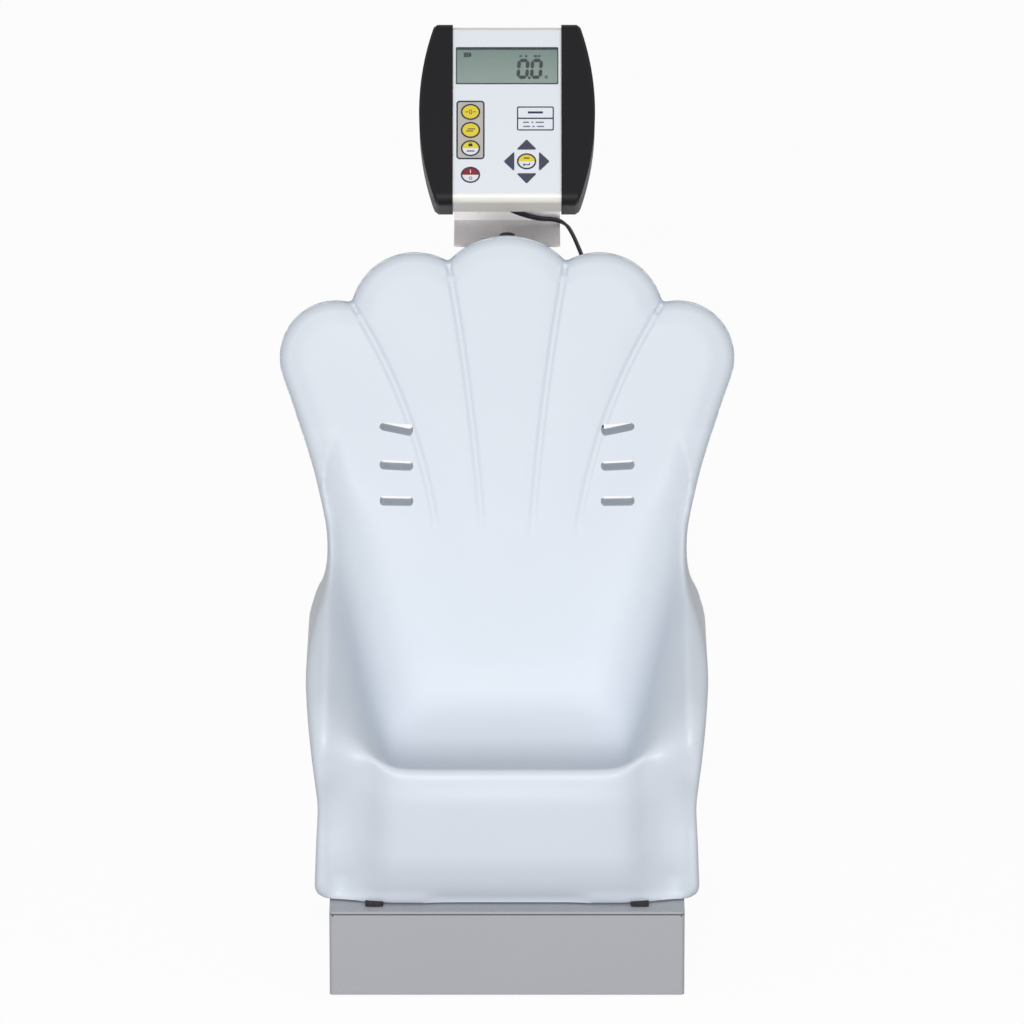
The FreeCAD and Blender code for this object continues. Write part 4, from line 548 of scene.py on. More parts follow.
# how far the front sinks at its corners, and along the valleys: heights, shares of the depth
CORNER_Z = [0.1035, 0.13, 0.17, 0.20, 0.225, 0.25, 0.275, 0.30, 0.325, 0.35]
CORNER_SHARE = [0.66, 0.74, 0.72, 0.58, 0.42, 0.26, 0.13, 0.05, 0.01, 0.0]
VALLEY_Z = [0.1035, 0.13, 0.17, 0.25, 0.28, 0.31, 0.35, 0.39]
VALLEY_SHARE = [0.10, 0.50, 0.90, 1.00, 0.80, 0.50, 0.20, 0.0]
# the pan behind its front edge: places in depth, then how far it is lowered
PAN_Y = [-0.166, -0.15, -0.13, -0.11, -0.09, -0.07, -0.05, -0.03, -0.01, 0.01, 0.032]
PAN_DROP = [0.0, 0.009, 0.015, 0.019, 0.022, 0.022, 0.021, 0.017, 0.011, 0.005, 0.0]


def rise(low, high, value):
    """0 below low, 1 above high and smooth between them."""
    share = np.clip((value - low) / (high - low), 0, 1)
    return share * share * (3 - 2 * share)


def fall(low, high, value):
    return 1 - rise(low, high, value)


def places(mesh):
    co = np.empty(len(mesh.vertices) * 3)
    mesh.vertices.foreach_get("co", co)
    return co.reshape(-1, 3)


def parts_of(mesh):
    """All places; then distance from the middle plane, depth and height, one array each."""
    co = places(mesh)
    return co, np.abs(co[:, 0]), co[:, 1], co[:, 2]


def facing(mesh):
    normals = np.empty(len(mesh.vertices) * 3)
    mesh.vertices.foreach_get("normal", normals)
    return normals.reshape(-1, 3)


def set_places(mesh, co):
    mesh.vertices.foreach_set("co", co.ravel())
    mesh.update()


def leaning(co):
    """Places as they are on the upright back: x, depth from its face, height."""
    turn = np.array(BACK_PLACE.inverted())
    return co @ turn[:3, :3].T + turn[:3, 3]


def relaxed(mesh, passes, weight=1.0, keep_size=False):
    """Move each vertex towards its neighbours, without shrinking the mesh if asked."""
    co = places(mesh)
    count = len(co)
    pairs = np.empty(len(mesh.edges) * 2, int)
    mesh.edges.foreach_get("vertices", pairs)
    a, b = pairs.reshape(-1, 2).T
    degree = np.bincount(a, minlength=count) + np.bincount(b, minlength=count)
    degree = np.maximum(degree, 1)[:, None]
    steps = (0.5, -0.53) if keep_size else (0.5,)
    strength = np.broadcast_to(weight, (count,))[:, None]
    for _ in range(passes):
        for step in steps:
            total = np.stack([np.bincount(a, co[b, axis], count)
                              + np.bincount(b, co[a, axis], count) for axis in range(3)], axis=1)
            co += (total / degree - co) * strength * step
    set_places(mesh, co)


def fit_to(mesh, solid, weight, reach=0.007):
    """Draw vertices onto the solid's surface, each by its weight."""
    co = places(mesh)
    for i in np.nonzero(weight > 0.01)[0]:
        found, _, _, distance = solid.find_nearest(Vector(co[i]), reach)
        if found is not None:
            co[i] += (np.array(found) - co[i]) * weight[i]
    set_places(mesh, co)


def finer(mesh, chosen, cuts):
    """Divide the faces that have a chosen vertex."""
    bm = bmesh.new()
    bm.from_mesh(mesh)
    edges = set()
    for face in bm.faces:
        if any(chosen[vertex.index] for vertex in face.verts):
            edges.update(face.edges)
    bmesh.ops.subdivide_edges(bm, edges=list(edges), cuts=cuts, use_grid_fill=True)
    bm.to_mesh(mesh)
    bm.free()


def firm(mesh):
    """How far each vertex keeps the drawn outline: all of the back and the outer sides."""
    _, x, y, z = parts_of(mesh)
    back = rise(0.44, 0.50, z)
    flank = rise(0.186, 0.192, x) * rise(0.095, 0.10, z)
    rear = rise(0.100, 0.120, y - (z - 0.3) * 0.2) * rise(0.12, 0.16, z)
    return np.maximum(np.maximum(back, flank), rear)


def smooth_apron(mesh):
    """Weight of the front face, from side to side, between the rim and the pan's edge."""
    _, x, y, z = parts_of(mesh)
    low = rise(0.112, 0.125, z) * fall(0.205, 0.228, z)
    return low * (facing(mesh)[:, 1] < 0) * (y < -0.145) * fall(0.176, 0.186, x)


def soft_inside(mesh):
    """Weight of the arms' inner rims and the bucket's corners, which blend over a long way."""
    co, x, y, z = parts_of(mesh)
    inside = rise(0.190, 0.170, x) * rise(0.225, 0.250, z) * rise(0.47, 0.40, z)
    return inside * rise(-0.172, -0.150, y) * fall(0.12, 0.16, leaning(co)[:, 1])


def draw_apron(mesh):
    """Bring the front face to one shallow crown from side to side."""
    co, x, y, z = parts_of(mesh)
    face = (facing(mesh)[:, 1] < -0.25) & (y < -0.148)
    weight = rise(RIM_Z, 0.1080, z) * fall(0.205, 0.228, z) * fall(0.172, 0.184, x)
    crown = CROWN_Y + CROWN_FALL * (x / SEAT_HALF) ** 2
    co[:, 1] = np.where(face, y + (crown - y) * weight, y)
    set_places(mesh, co)


def lower_pan(mesh):
    """Sink the pan behind its front edge, so that the edge stands crisp before it."""
    co, x, y, z = parts_of(mesh)
    inside = (facing(mesh)[:, 2] > 0.1) & (z > 0.212) & (z < 0.330) & (y < 0.034)
    inside &= leaning(co)[:, 1] < 0.008
    co[:, 2] = z - np.interp(y, PAN_Y, PAN_DROP) * fall(0.114, 0.146, x) * inside
    set_places(mesh, co)


def press_front(mesh):
    """Roll the front under at the rim, sink its corners, press the valleys, lift the arms."""
    chosen = settings()
    co, x, y, z = parts_of(mesh)
    down = np.clip((ROLL_TOP - z) / (ROLL_TOP - RIM_Z), 0, 1) ** 1.9
    roll = chosen.rim_roll * down * (1 - 0.5 * rise(0.120, 0.178, x))
    sunk = chosen.corner_depth * np.interp(z, CORNER_Z, CORNER_SHARE) * rise(0.112, 0.188, x)
    spread = np.where(x < VALLEY_X, VALLEY_INNER, VALLEY_OUTER)
    groove = (chosen.valley_depth * np.interp(z, VALLEY_Z, VALLEY_SHARE)
              * np.exp(-((x - VALLEY_X) / spread) ** 2) * fall(-0.12, -0.03, y))
    top = rise(0.235, 0.265, z)
    back = fall(-0.150, -0.075, y) * (roll + sunk) + groove * (1 - 0.5 * top)
    lift = (chosen.arm_rise * np.exp(-((x - ARM_RIM_X) / ARM_RIM_HALF) ** 2) * top
            * fall(0.40, 0.46, z))
    lowered = z - RIM_DROP * back * fall(0.118, 0.155, z) - 0.6 * groove * top + 0.85 * lift
    co[:, 1] = y + back - 0.5 * lift
    co[:, 2] = np.where(z > RIM_LOWEST, np.maximum(lowered, RIM_LOWEST), z)
    set_places(mesh, co)
    soft = rise(0.134, 0.150, x) * fall(0.166, 0.180, x) * fall(-0.06, -0.02, y)
    relaxed(mesh, 90, soft * rise(0.115, 0.140, z) * fall(0.30, 0.36, z))


def flute_points(three):
    """Points along the circle through three points of the back's face."""
    (ax, az), (bx, bz), (cx, cz) = three
    d = 2 * (ax * (bz - cz) + bx * (cz - az) + cx * (az - bz))
    a, b, c = ax ** 2 + az ** 2, bx ** 2 + bz ** 2, cx ** 2 + cz ** 2
    ux = (a * (bz - cz) + b * (cz - az) + c * (az - bz)) / d
    uz = (a * (cx - bx) + b * (ax - cx) + c * (bx - ax)) / d
    radius = math.hypot(ax - ux, az - uz)
    first = math.atan2(az - uz, ax - ux)
    turn = (math.atan2(cz - uz, cx - ux) - first + math.pi) % math.tau - math.pi
    angles = [first + turn * i / FLUTE_STEPS for i in range(FLUTE_STEPS + 1)]
    return [(ux + radius * math.cos(t), uz + radius * math.sin(t)) for t in angles]


def nearest_flute():
    """Finder of the distance to the nearest flute line, and how far down the flute that is."""
    lines = []
    for three in FLUTES:
        points = flute_points(three)
        lines.extend([points, [(-x, z) for x, z in points]])
    tree = kdtree.KDTree(sum(len(line) for line in lines))
    shares = []
    for line in lines:
        for i, (x, z) in enumerate(line):
            tree.insert((x, 0.0, z), len(shares))
            shares.append(i / (len(line) - 1))
    tree.balance()

    def find(x, z):
        _, index, distance = tree.find((x, 0.0, z))
        return distance, shares[index]
    return find


def outline_finder(mesh):
    """Finder of the distance to the scalloped outline, from the middle of the panel's edge."""
    flat = leaning(places(mesh))
    turn = np.array(BACK_PLACE.inverted())[:3, :3]
    across = facing(mesh) @ turn.T
    rim = (np.abs(across[:, 1]) < 0.35) & (flat[:, 1] > 0.006) & (flat[:, 1] < 0.018)
    rim &= flat[:, 2] > 0.40
    tree = kdtree.KDTree(int(rim.sum()))
    for i, (x, _, z) in enumerate(flat[rim]):
        tree.insert((x, 0.0, z), i)
    tree.balance()
    return lambda x, z: tree.find((x, 0.0, z))[2]


def press_back(mesh):
    """Crease the back's face along its flutes, and let each lobe fall towards its edges."""
    chosen = settings()
    to_flute = nearest_flute()
    to_outline = outline_finder(mesh)
    inward = np.array(BACK_PLACE.to_3x3() @ Vector((0, 1, 0)))
    co = places(mesh)
    flat = leaning(co)
    front = facing(mesh) @ inward < -0.25
    band = front & (np.abs(flat[:, 1]) < 0.010) & (flat[:, 2] > 0.375)
    for i in np.nonzero(band)[0]:
        x, _, z = flat[i]
        distance, share = to_flute(x, z)
        fade = min(1.0, (1 - share) * 7)
        lips = math.exp(-((distance - chosen.flute_width) / 0.0009) ** 2)
        trough = math.exp(-(distance / chosen.flute_width) ** 4)
        swell = math.exp(-(distance / 0.013) ** 1.4)
        depth = (chosen.flute_depth * fade * (0.35 + 0.65 * (1 - share))
                 * (0.8 * trough + 0.25 * lips))
        depth += chosen.lobe_swell * fade * (1 - share) ** 0.7 * swell * 0.5
        if z > 0.43:
            edge = float(fall(0.0, 0.027, to_outline(x, z)))
            depth += chosen.lobe_swell * min(1.0, (z - 0.43) / 0.08) * edge
        co[i] += inward * depth
    set_places(mesh, co)


def back_filler():
    """A slab in the plane of the back that closes its grooves and slots."""
    loop = FILLER + [(-x, z) for x, z in reversed(FILLER[1:])]
    mesh = plates_mesh("filler", [loop], 0.0, BACK_THICK)
    mesh.transform(BACK_PLACE)
    return mesh


def slot_cutter():
    bm = bmesh.new()
    half, tall = SLOT_SIZE[0] / 2, SLOT_SIZE[1] / 2
    for z, droop, taper in SLOTS:
        for side in (-1, 1):
            loop = [(px, pz * (1 - taper / tall * side * px / half))
                    for px, pz in rounded(0, 0, half, tall, tall * 0.9, 6)]
            mesh = plates_mesh("slot", [loop], -0.05, 0.2)
            turn = Matrix.Rotation(math.radians(-side * droop), 4, "Y")
            mesh.transform(Matrix.Translation((side * SLOT_X, 0.0, z)) @ turn)
            take_in(bm, mesh)
    return new_object("slot_cutter", mesh_from(bm, "slot_cutter"))


def near_edge(mesh):
    """Which vertices lie along the scalloped outline or in its notches."""
    flat = leaning(places(mesh))
    to_outline = outline_finder(mesh)
    chosen = np.array([place[2] > 0.42 and abs(place[1] - BACK_THICK / 2) < 0.02
                       and to_outline(place[0], place[2]) < 0.013 for place in flat])
    for x, z in NOTCHES:
        chosen |= np.hypot(np.abs(flat[:, 0]) - x, flat[:, 2] - z) < 0.013
    return chosen


def near_flute(mesh):
    """Which vertices of the back's face lie along a flute."""
    to_flute = nearest_flute()
    return np.array([abs(place[1]) < 0.008 and to_flute(place[0], place[2])[0] < 0.0075
                     for place in leaning(places(mesh))])


class SCALE_OT_seat(bpy.types.Operator):
    """Moulded seat: one soft skin with creased lobes, valleys in front and strap slots"""
    bl_idname = "scale.seat"
    bl_label = "Seat"

    def execute(self, context):
        chosen = settings()
        bm = bmesh.new()
        bm.from_mesh(NODES["seat_shell"].data)
        bmesh.ops.remove_doubles(bm, verts=bm.verts, dist=0.00001)
        take_in(bm, back_filler())
        solid = BVHTree.FromBMesh(bm)
        seat = new_object("seat_block", mesh_from(bm, "seat_block"))
        skin = seat.modifiers.new("skin", "REMESH")
        skin.mode = "VOXEL"
        skin.voxel_size = chosen.seat_voxel
        seat = baked(seat, "seat_moulding")
        mesh = seat.data
        relaxed(mesh, 12, keep_size=True)
        fit_to(mesh, solid, firm(mesh))
        relaxed(mesh, chosen.bucket_softness, soft_inside(mesh))
        relaxed(mesh, 60, smooth_apron(mesh))
        draw_apron(mesh)
        lower_pan(mesh)
        relaxed(mesh, 5, (1 - firm(mesh)) * rise(0.09, 0.11, places(mesh)[:, 2]))
        finer(mesh, near_edge(mesh), 1)
        fit_to(mesh, solid, firm(mesh))
        finer(mesh, near_flute(mesh), 2)
        press_back(mesh)
        press_front(mesh)
        seat = cut_by(seat, slot_cutter(), "seat_moulding")
        smooth_shade(seat, 50)
        finish_with(seat, shader("seat_plastic", chosen.seat_colour, 0.46, grain=1400.0,
                                 bump=0.05, tint=0.012, rough_play=0.04, cloud=6.0))
        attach(seat, "platform")
        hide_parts("seat_shell")
        return {"FINISHED"}


# ---------- base and column
# black discs at the lid's front corners: painted shade in place of the dark corner relief holes
RELIEF_SHADE_X = 0.1745
RELIEF_SHADE_Z = 0.0873
RELIEF_SHADE_RADIUS = 0.0008
RELIEF_SHADE_FACE = -0.17805
RELIEF_SHADE_REAR = -0.1776


class SCALE_OT_base(bpy.types.Operator):
    """Powder coat, zinc, rubber and enamel on the base, platform and column"""
    bl_idname = "scale.base"
    bl_label = "Base and column"

    def execute(self, context):
        coat = shader("base_coat", settings().base_colour, 0.48, grain=700.0, bump=0.10,
                      tint=0.02, cloud=5.0)
        paint_nodes(coat, "base_housing", "platform_lid")
        white = shader("column_coat", linear(248, 245, 246), 0.42, grain=700.0, bump=0.08,
                       tint=0.02)
        paint_nodes(white, "head_bracket", "column_tube", "column_cap", "column_foot_bracket")
        enamel = shader("frame_enamel", linear(70, 72, 76), 0.5, grain=300.0, bump=0.1)
        paint_nodes(enamel, "base_beam", "platform_frame")
        rubber = shader("rubber", linear(34, 34, 36), 0.8, grain=500.0, bump=0.15)
        paint_nodes(rubber, "rubber_feet", "seat_bumpers", "cable_grommet")
        zinc = shader("zinc_plate", linear(190, 192, 196), 0.34, metallic=1.0, grain=260.0,
                      bump=0.04, tint=0.08)
        paint_nodes(zinc, "foot_screws", "load_cell_lower_screws", "load_cell_upper_screws",
                    "seat_screws", "column_foot_screws", "column_cross_bolt", "lug_screws",
                    "overload_stops", "pivot_tube", "load_cell_lower_spacer",
                    "load_cell_upper_spacer")
        milled = shader("milled_aluminium", linear(205, 207, 210), 0.3, metallic=1.0,
                        grain=160.0, bump=0.05)
        paint_nodes(milled, "load_cell", "tilt_lugs")
        black = shader("black_plastic", linear(38, 38, 42), 0.55, grain=900.0, bump=0.12)
        paint_nodes(black, "cable_gland", "tilt_knobs", "pivot_bolt")
        # painted shade: black discs where the corner relief holes look dark
        loops = [oval(side * RELIEF_SHADE_X, RELIEF_SHADE_Z, RELIEF_SHADE_RADIUS, RELIEF_SHADE_RADIUS, 12) for side in (-1, 1)]
        relief_shades = new_object("relief_hole_shade", plates_mesh("relief_hole_shade", loops, RELIEF_SHADE_FACE, RELIEF_SHADE_REAR))
        finish_with(relief_shades, black)
        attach(relief_shades, "base")
        return {"FINISHED"}


# ---------- head
class SCALE_OT_head(bpy.types.Operator):
    """Finishes of the head's case, caps, film and inner parts"""
    bl_idname = "scale.head"
    bl_label = "Head"

    def execute(self, context):
        chosen = settings()
        paint_nodes(shader("case_paint", linear(250, 247, 240), 0.36, grain=900.0, bump=0.03,
                           tint=0.015), "head_extrusion")
        paint_nodes(shader("cap_plastic", chosen.cap_colour, 0.5, grain=1300.0, bump=0.22,
                           tint=0.06, specular=0.22), "left_end_cap", "right_end_cap")
        paint_nodes(shader("film", chosen.film_colour, 0.4, grain=2500.0, bump=0.02,
                           tint=0.008), "keypad_overlay")
        paint_nodes(shader("black_screws", linear(44, 44, 50), 0.35, metallic=1.0),
                    "cap_screws")
        paint_nodes(shader("board", linear(30, 92, 58), 0.4, grain=200.0, bump=0.05),
                    "circuit_board")
        paint_nodes(shader("holder", linear(36, 36, 40), 0.5), "battery_holder")
        paint_nodes(shader("battery_wrap", linear(60, 66, 92), 0.35, metallic=0.4),
                    "batteries")
        paint_nodes(display_grey(), "lcd_module")
        return {"FINISHED"}


# ---------- keys
# places on the upright head's face and sizes, metres
KEY_X = -0.037
KEY_Z = {"key_zero": 0.0012, "key_units": -0.0178, "key_lock": -0.037, "key_power": -0.065}
PAD = (0.0198, -0.0508)
OVAL = (0.0097, 0.0084)
MARK_FACE = KEY_FACE - 0.00006


def bar(bm, x, z, half_x, half_z):
    plate(bm, rounded(x, z, half_x, half_z, min(half_x, half_z) * 0.4), MARK_FACE, KEY_FACE)


def round_mark(bm, x, z, half_x, half_z, line, steps=20):
    ring(bm, oval(x, z, half_x, half_z, steps),
         oval(x, z, half_x - line, half_z - line, steps), MARK_FACE, KEY_FACE)


def zero_mark(bm, x, z):
    """A plain nought between two dashes."""
    round_mark(bm, x, z, 0.0017, 0.0025, 0.0007)
    for side in (-1, 1):
        bar(bm, x + side * 0.0041, z, 0.0014, 0.0004)


def units_mark(bm, x, z):
    """Two bars, one above the other."""
    for side in (-1, 1):
        bar(bm, x + side * 0.0008, z + side * 0.0011, 0.0036, 0.0005)


def lock_mark(bm, x, z):
    """A small padlock over a bar."""
    round_mark(bm, x, z + 0.0048, 0.0013, 0.0014, 0.0005)
    bar(bm, x, z + 0.0033, 0.0021, 0.0014)
    bar(bm, x, z - 0.0030, 0.0040, 0.0006)


def power_mark(bm, x, z):
    """A small ring for off."""
    round_mark(bm, x, z - 0.0036, 0.0017, 0.0017, 0.0006)


def enter_mark(bm, x, z):
    """A bar above a return arrow."""
    bar(bm, x, z + 0.0034, 0.0030, 0.0006)
    bar(bm, x + 0.0006, z - 0.0036, 0.0028, 0.0005)
    bar(bm, x + 0.0030, z - 0.0027, 0.0004, 0.0013)
    tip = [(x - 0.0042, z - 0.0036), (x - 0.0020, z - 0.0051), (x - 0.0020, z - 0.0021)]
    plate(bm, tip, MARK_FACE, KEY_FACE)


# each printed key: its mark and the middle of the key
MARKS = {
    "key_zero": (zero_mark, KEY_X, KEY_Z["key_zero"]),
    "key_units": (units_mark, KEY_X, KEY_Z["key_units"]),
    "key_lock": (lock_mark, KEY_X, KEY_Z["key_lock"]),
    "key_power": (power_mark, KEY_X, KEY_Z["key_power"]),
    "key_enter": (enter_mark, *PAD)}


class SCALE_OT_keys(bpy.types.Operator):
    """Printed key caps: yellow, half yellow, half red and dark blue arrows"""
    bl_idname = "scale.keys"
    bl_label = "Keys"

    def execute(self, context):
        chosen = settings()
        yellow = linear(236, 214, 56)
        white = linear(236, 238, 244)
        red = linear(136, 24, 34)
        paint_nodes(key_print("key_yellow", yellow), "key_zero", "key_units")
        for name, upper in (("key_lock", yellow), ("key_power", red), ("key_enter", yellow)):
            paint_nodes(halved_key(name + "_print", upper, white, MARKS[name][2]), name)
        paint_nodes(key_print("key_arrow", linear(62, 62, 84)),
                    "key_up", "key_down", "key_left", "key_right")
        ink = flat_print("key_ink", chosen.ink_colour)
        for name, (mark, x, z) in MARKS.items():
            bm = bmesh.new()
            round_mark(bm, x, z, *OVAL, chosen.ink_line * 0.95, 48)
            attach(head_piece(bm, name + "_rim", ink), name)
            bm = bmesh.new()
            mark(bm, x, z)
            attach(head_piece(bm, name + "_mark", ink), name)
        bm = bmesh.new()
        bar(bm, KEY_X, KEY_Z["key_power"] + 0.0036, 0.0004, 0.0018)
        pale = flat_print("key_white", white, 0.35)
        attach(head_piece(bm, "key_power_on", pale), "key_power")
        return {"FINISHED"}


# ---------- print on the film
# x, z, half-width, half-height and corner of the grey key panel and of the capacity frame
KEY_PANEL = (-0.03705, -0.0177, 0.01435, 0.0309, 0.0035)
CAPACITY = (0.0287, -0.0056, 0.0187, 0.0127, 0.0016)
PANEL_FACE = FILM_FACE - 0.00005
INK_FACE = FILM_FACE - 0.0001
# dashes in the capacity frame: distance below its divider, then the dashes' half-lengths
DASHES = [(0.0042, (0.0030, 0.0012, 0.0042)), (0.0086, (0.0036, 0.0012, 0.0036))]
DASH_START = -0.0125
DASH_GAP = 0.0022


def panel_with_holes():
    """The grey key panel with openings round its three keys."""
    panel = new_object("panel", plates_mesh(
        "panel", [rounded(*KEY_PANEL, 12)], PANEL_FACE, FILM_FACE))
    loops = [oval(KEY_X, KEY_Z[name], OVAL[0] + 0.0002, OVAL[1] + 0.0002)
             for name in ("key_zero", "key_units", "key_lock")]
    holes = new_object("holes", plates_mesh("holes", loops, FILM_FACE - 0.002,
                                            FILM_FACE + 0.001))
    panel = cut_by(panel, holes, "panel")
    bm = bmesh.new()
    bm.from_mesh(panel.data)
    bpy.data.objects.remove(panel)
    return bm


class SCALE_OT_film_print(bpy.types.Operator):
    """Print on the film: key panel, capacity frame and outlines"""
    bl_idname = "scale.film_print"
    bl_label = "Film print"

    def execute(self, context):
        chosen = settings()
        line = chosen.ink_line
        ink = flat_print("film_ink", chosen.ink_colour)
        grey = shader("film_grey", linear(192, 190, 182), 0.42, grain=2000.0, bump=0.01,
                      tint=0.02)
        head_piece(panel_with_holes(), "key_panel_print", grey)
        bm = bmesh.new()
        x, z, half_x, half_z, corner = KEY_PANEL
        ring(bm, rounded(*KEY_PANEL, 8),
             rounded(x, z, half_x - line, half_z - line, corner - line, 8), INK_FACE, FILM_FACE)
        x, z, half_x, half_z, corner = CAPACITY
        thin = line * 0.8
        ring(bm, rounded(*CAPACITY, 6),
             rounded(x, z, half_x - thin, half_z - thin, corner * 0.4, 6), INK_FACE, FILM_FACE)
        divider = z + 0.0002
        plate(bm, rounded(x, divider, half_x - line * 0.4, line * 0.45, 0.0002), INK_FACE,
              FILM_FACE)
        plate(bm, rounded(x, divider + 0.0062, 0.0076, 0.0011, 0.0004), INK_FACE, FILM_FACE)
        head_piece(bm, "film_outlines", ink)
        bm = bmesh.new()
        for below, halves in DASHES:
            reach = DASH_START
            for half in halves:
                reach += half
                plate(bm, rounded(x + reach, divider - below, half, 0.0007, 0.0003),
                      INK_FACE, FILM_FACE)
                reach += half + DASH_GAP
        pale = flat_print("film_pale_ink", linear(118, 122, 140))
        head_piece(bm, "film_dashes", pale)
        return {"FINISHED"}


# ---------- display
# places on the upright head's face and sizes, metres
DISPLAY_Z = 0.0502
DISPLAY_HALF = (0.0510, 0.0185)
DISPLAY_BACK = CASE_FACE - 0.0004
DISPLAY_INK = DISPLAY_BACK - 0.0003
DIGIT_LEFTS = (0.0112, 0.0248)
DIGIT_FOOT = 0.0382
DIGIT_LEAN = math.tan(math.radians(4))
POINT = (0.0226, 0.0376, 0.0012, 0.0012, 0.0004)
BATTERY = (-0.0404, 0.0619)
# x, z, half-width, half-height and corner of the battery's nub and cells, the marks over
# the digits, the two lines beside them and the dark line along the top, which is a painted
# shadow of the window's upper edge
DISPLAY_MARKS = [
    (-0.0364, 0.0619, 0.0004, 0.0011, 0.0001),
    (-0.0424, 0.0619, 0.0008, 0.0015, 0.0001), (-0.0404, 0.0619, 0.0008, 0.0015, 0.0001),
    (-0.0384, 0.0619, 0.0008, 0.0015, 0.0001), (0.0138, 0.0605, 0.0012, 0.0008, 0.0002),
    (0.0193, 0.0605, 0.0012, 0.0008, 0.0002), (0.0288, 0.0605, 0.0015, 0.0010, 0.0002),
    (0.0325, 0.0605, 0.0013, 0.0010, 0.0002), (0.0397, 0.0376, 0.0015, 0.0005, 0.0001),
    # the last entry is a painted shadow along the top of the display
    (0.0397, 0.0394, 0.0015, 0.0005, 0.0001), (0.0, 0.0680, 0.0511, 0.0008, 0.0001)]
# the six lit strokes of a nought, from end to end, as shares of its width and height
STROKES = [
    ((0.03, 1.0), (0.97, 1.0)), ((1.0, 0.985), (1.0, 0.515)), ((1.0, 0.485), (1.0, 0.015)),
    ((0.97, 0.0), (0.03, 0.0)), ((0.0, 0.015), (0.0, 0.485)), ((0.0, 0.515), (0.0, 0.985))]


def stroke(bm, a, b, thick):
    """A display stroke with pointed ends between two places of the face."""
    along = (b - a).normalized()
    side = Vector((-along.y, along.x)) * thick / 2
    tip = along * thick / 2
    loop = [a, a + tip - side, b - tip - side, b, b - tip + side, a + tip + side]
    plate(bm, [(p.x, p.y) for p in loop], DISPLAY_INK, DISPLAY_BACK)


def display_loop(margin, corner, steps=2):
    half_x, half_z = DISPLAY_HALF
    return rounded(0, DISPLAY_Z, half_x + margin, half_z + margin, corner, steps)


class SCALE_OT_display(bpy.types.Operator):
    """Display: clear pane, digits and small marks"""
    bl_idname = "scale.display"
    bl_label = "Display"

    def execute(self, context):
        bm = bmesh.new()
        plate(bm, display_loop(0.0002, 0.0004), DISPLAY_BACK, DISPLAY_BACK + 0.0003)
        head_piece(bm, "display_back", NODES["lcd_module"].data.materials[0])
        bm = bmesh.new()
        height = settings().digit_height
        width = height * 0.49
        for left in DIGIT_LEFTS:
            for ends in STROKES:
                a, b = (Vector((left + x * width + z * height * DIGIT_LEAN,
                                DIGIT_FOOT + z * height)) for x, z in ends)
                stroke(bm, a, b, height * 0.2)
        plate(bm, rounded(*POINT), DISPLAY_INK, DISPLAY_BACK)
        ring(bm, rounded(*BATTERY, 0.0036, 0.0023, 0.0003),
             rounded(*BATTERY, 0.0030, 0.0017, 0.0001), DISPLAY_INK, DISPLAY_BACK)
        # the last of these marks is a painted shadow along the display's top
        for mark in DISPLAY_MARKS:
            plate(bm, rounded(*mark), DISPLAY_INK, DISPLAY_BACK)
        # ink of the digits and marks, also used for the painted shadow along the top
        ink = shader("display_ink_and_painted_shadow", linear(8, 20, 22), 0.5, bump=0.0, tint=0.01, specular=0.2)
        head_piece(bm, "display_marks", ink)
        bm = bmesh.new()
        ring(bm, display_loop(0.0009, 0.0016, 4), display_loop(0.0, 0.0012, 4), FILM_FACE,
             DISPLAY_BACK)
        edge = flat_print("display_edge", linear(34, 62, 70))
        head_piece(bm, "display_edge", edge)
        bm = bmesh.new()
        plate(bm, display_loop(0.0, 0.0003), FILM_FACE + 0.0001, DISPLAY_INK - 0.0001)
        pane = head_piece(bm, "display_pane", clear_pane())
        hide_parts("lcd_window")
        return {"FINISHED"}


# ---------- screw recesses, as painted shade
# outer face of the cap screws, and their places on the upright head: y, z
CAP_SCREW_FACE = 0.055 + 0.006 + 0.002
PORTS = [(-0.008, 0.0865), (0.0195, 0.0865)]


def recess_tree():
    """Geometry Nodes: a small cross-shaped drive mark on each point, on the head's side; the mark is
    painted shade of a cross recess.
    """
    tree = bpy.data.node_groups.new("drive_marks", "GeometryNodeTree")
    face = tree.interface
    face.new_socket("Points", in_out="INPUT", socket_type="NodeSocketGeometry")
    for label, default in (("Arm", 0.0022), ("Width", 0.0006), ("Depth", 0.0003)):
        socket = face.new_socket(label, in_out="INPUT", socket_type="NodeSocketFloat")
        socket.default_value = default
    face.new_socket("Finish", in_out="INPUT", socket_type="NodeSocketMaterial")
    face.new_socket("Marks", in_out="OUTPUT", socket_type="NodeSocketGeometry")
    source = node(tree, "NodeGroupInput", -800)
    sink = node(tree, "NodeGroupOutput", 600)
    join = node(tree, "GeometryNodeJoinGeometry", -100, -200)
    for tall, wide in (("Arm", "Width"), ("Width", "Arm")):
        size = node(tree, "ShaderNodeCombineXYZ", -500, -200)
        cube = node(tree, "GeometryNodeMeshCube", -300, -200)
        wire(tree, (source, "Depth", size, "X"), (source, tall, size, "Y"),
             (source, wide, size, "Z"), (size, "Vector", cube, "Size"),
             (cube, "Mesh", join, "Geometry"))
    place = node(tree, "GeometryNodeInstanceOnPoints", 100)
    real = node(tree, "GeometryNodeRealizeInstances", 250)
    paint = node(tree, "GeometryNodeSetMaterial", 400)
    wire(tree,
         (source, "Points", place, "Points"), (join, "Geometry", place, "Instance"),
         (place, "Instances", real, "Geometry"), (real, "Geometry", paint, "Geometry"),
         (source, "Finish", paint, "Material"), (paint, "Geometry", sink, "Marks"))
    return tree


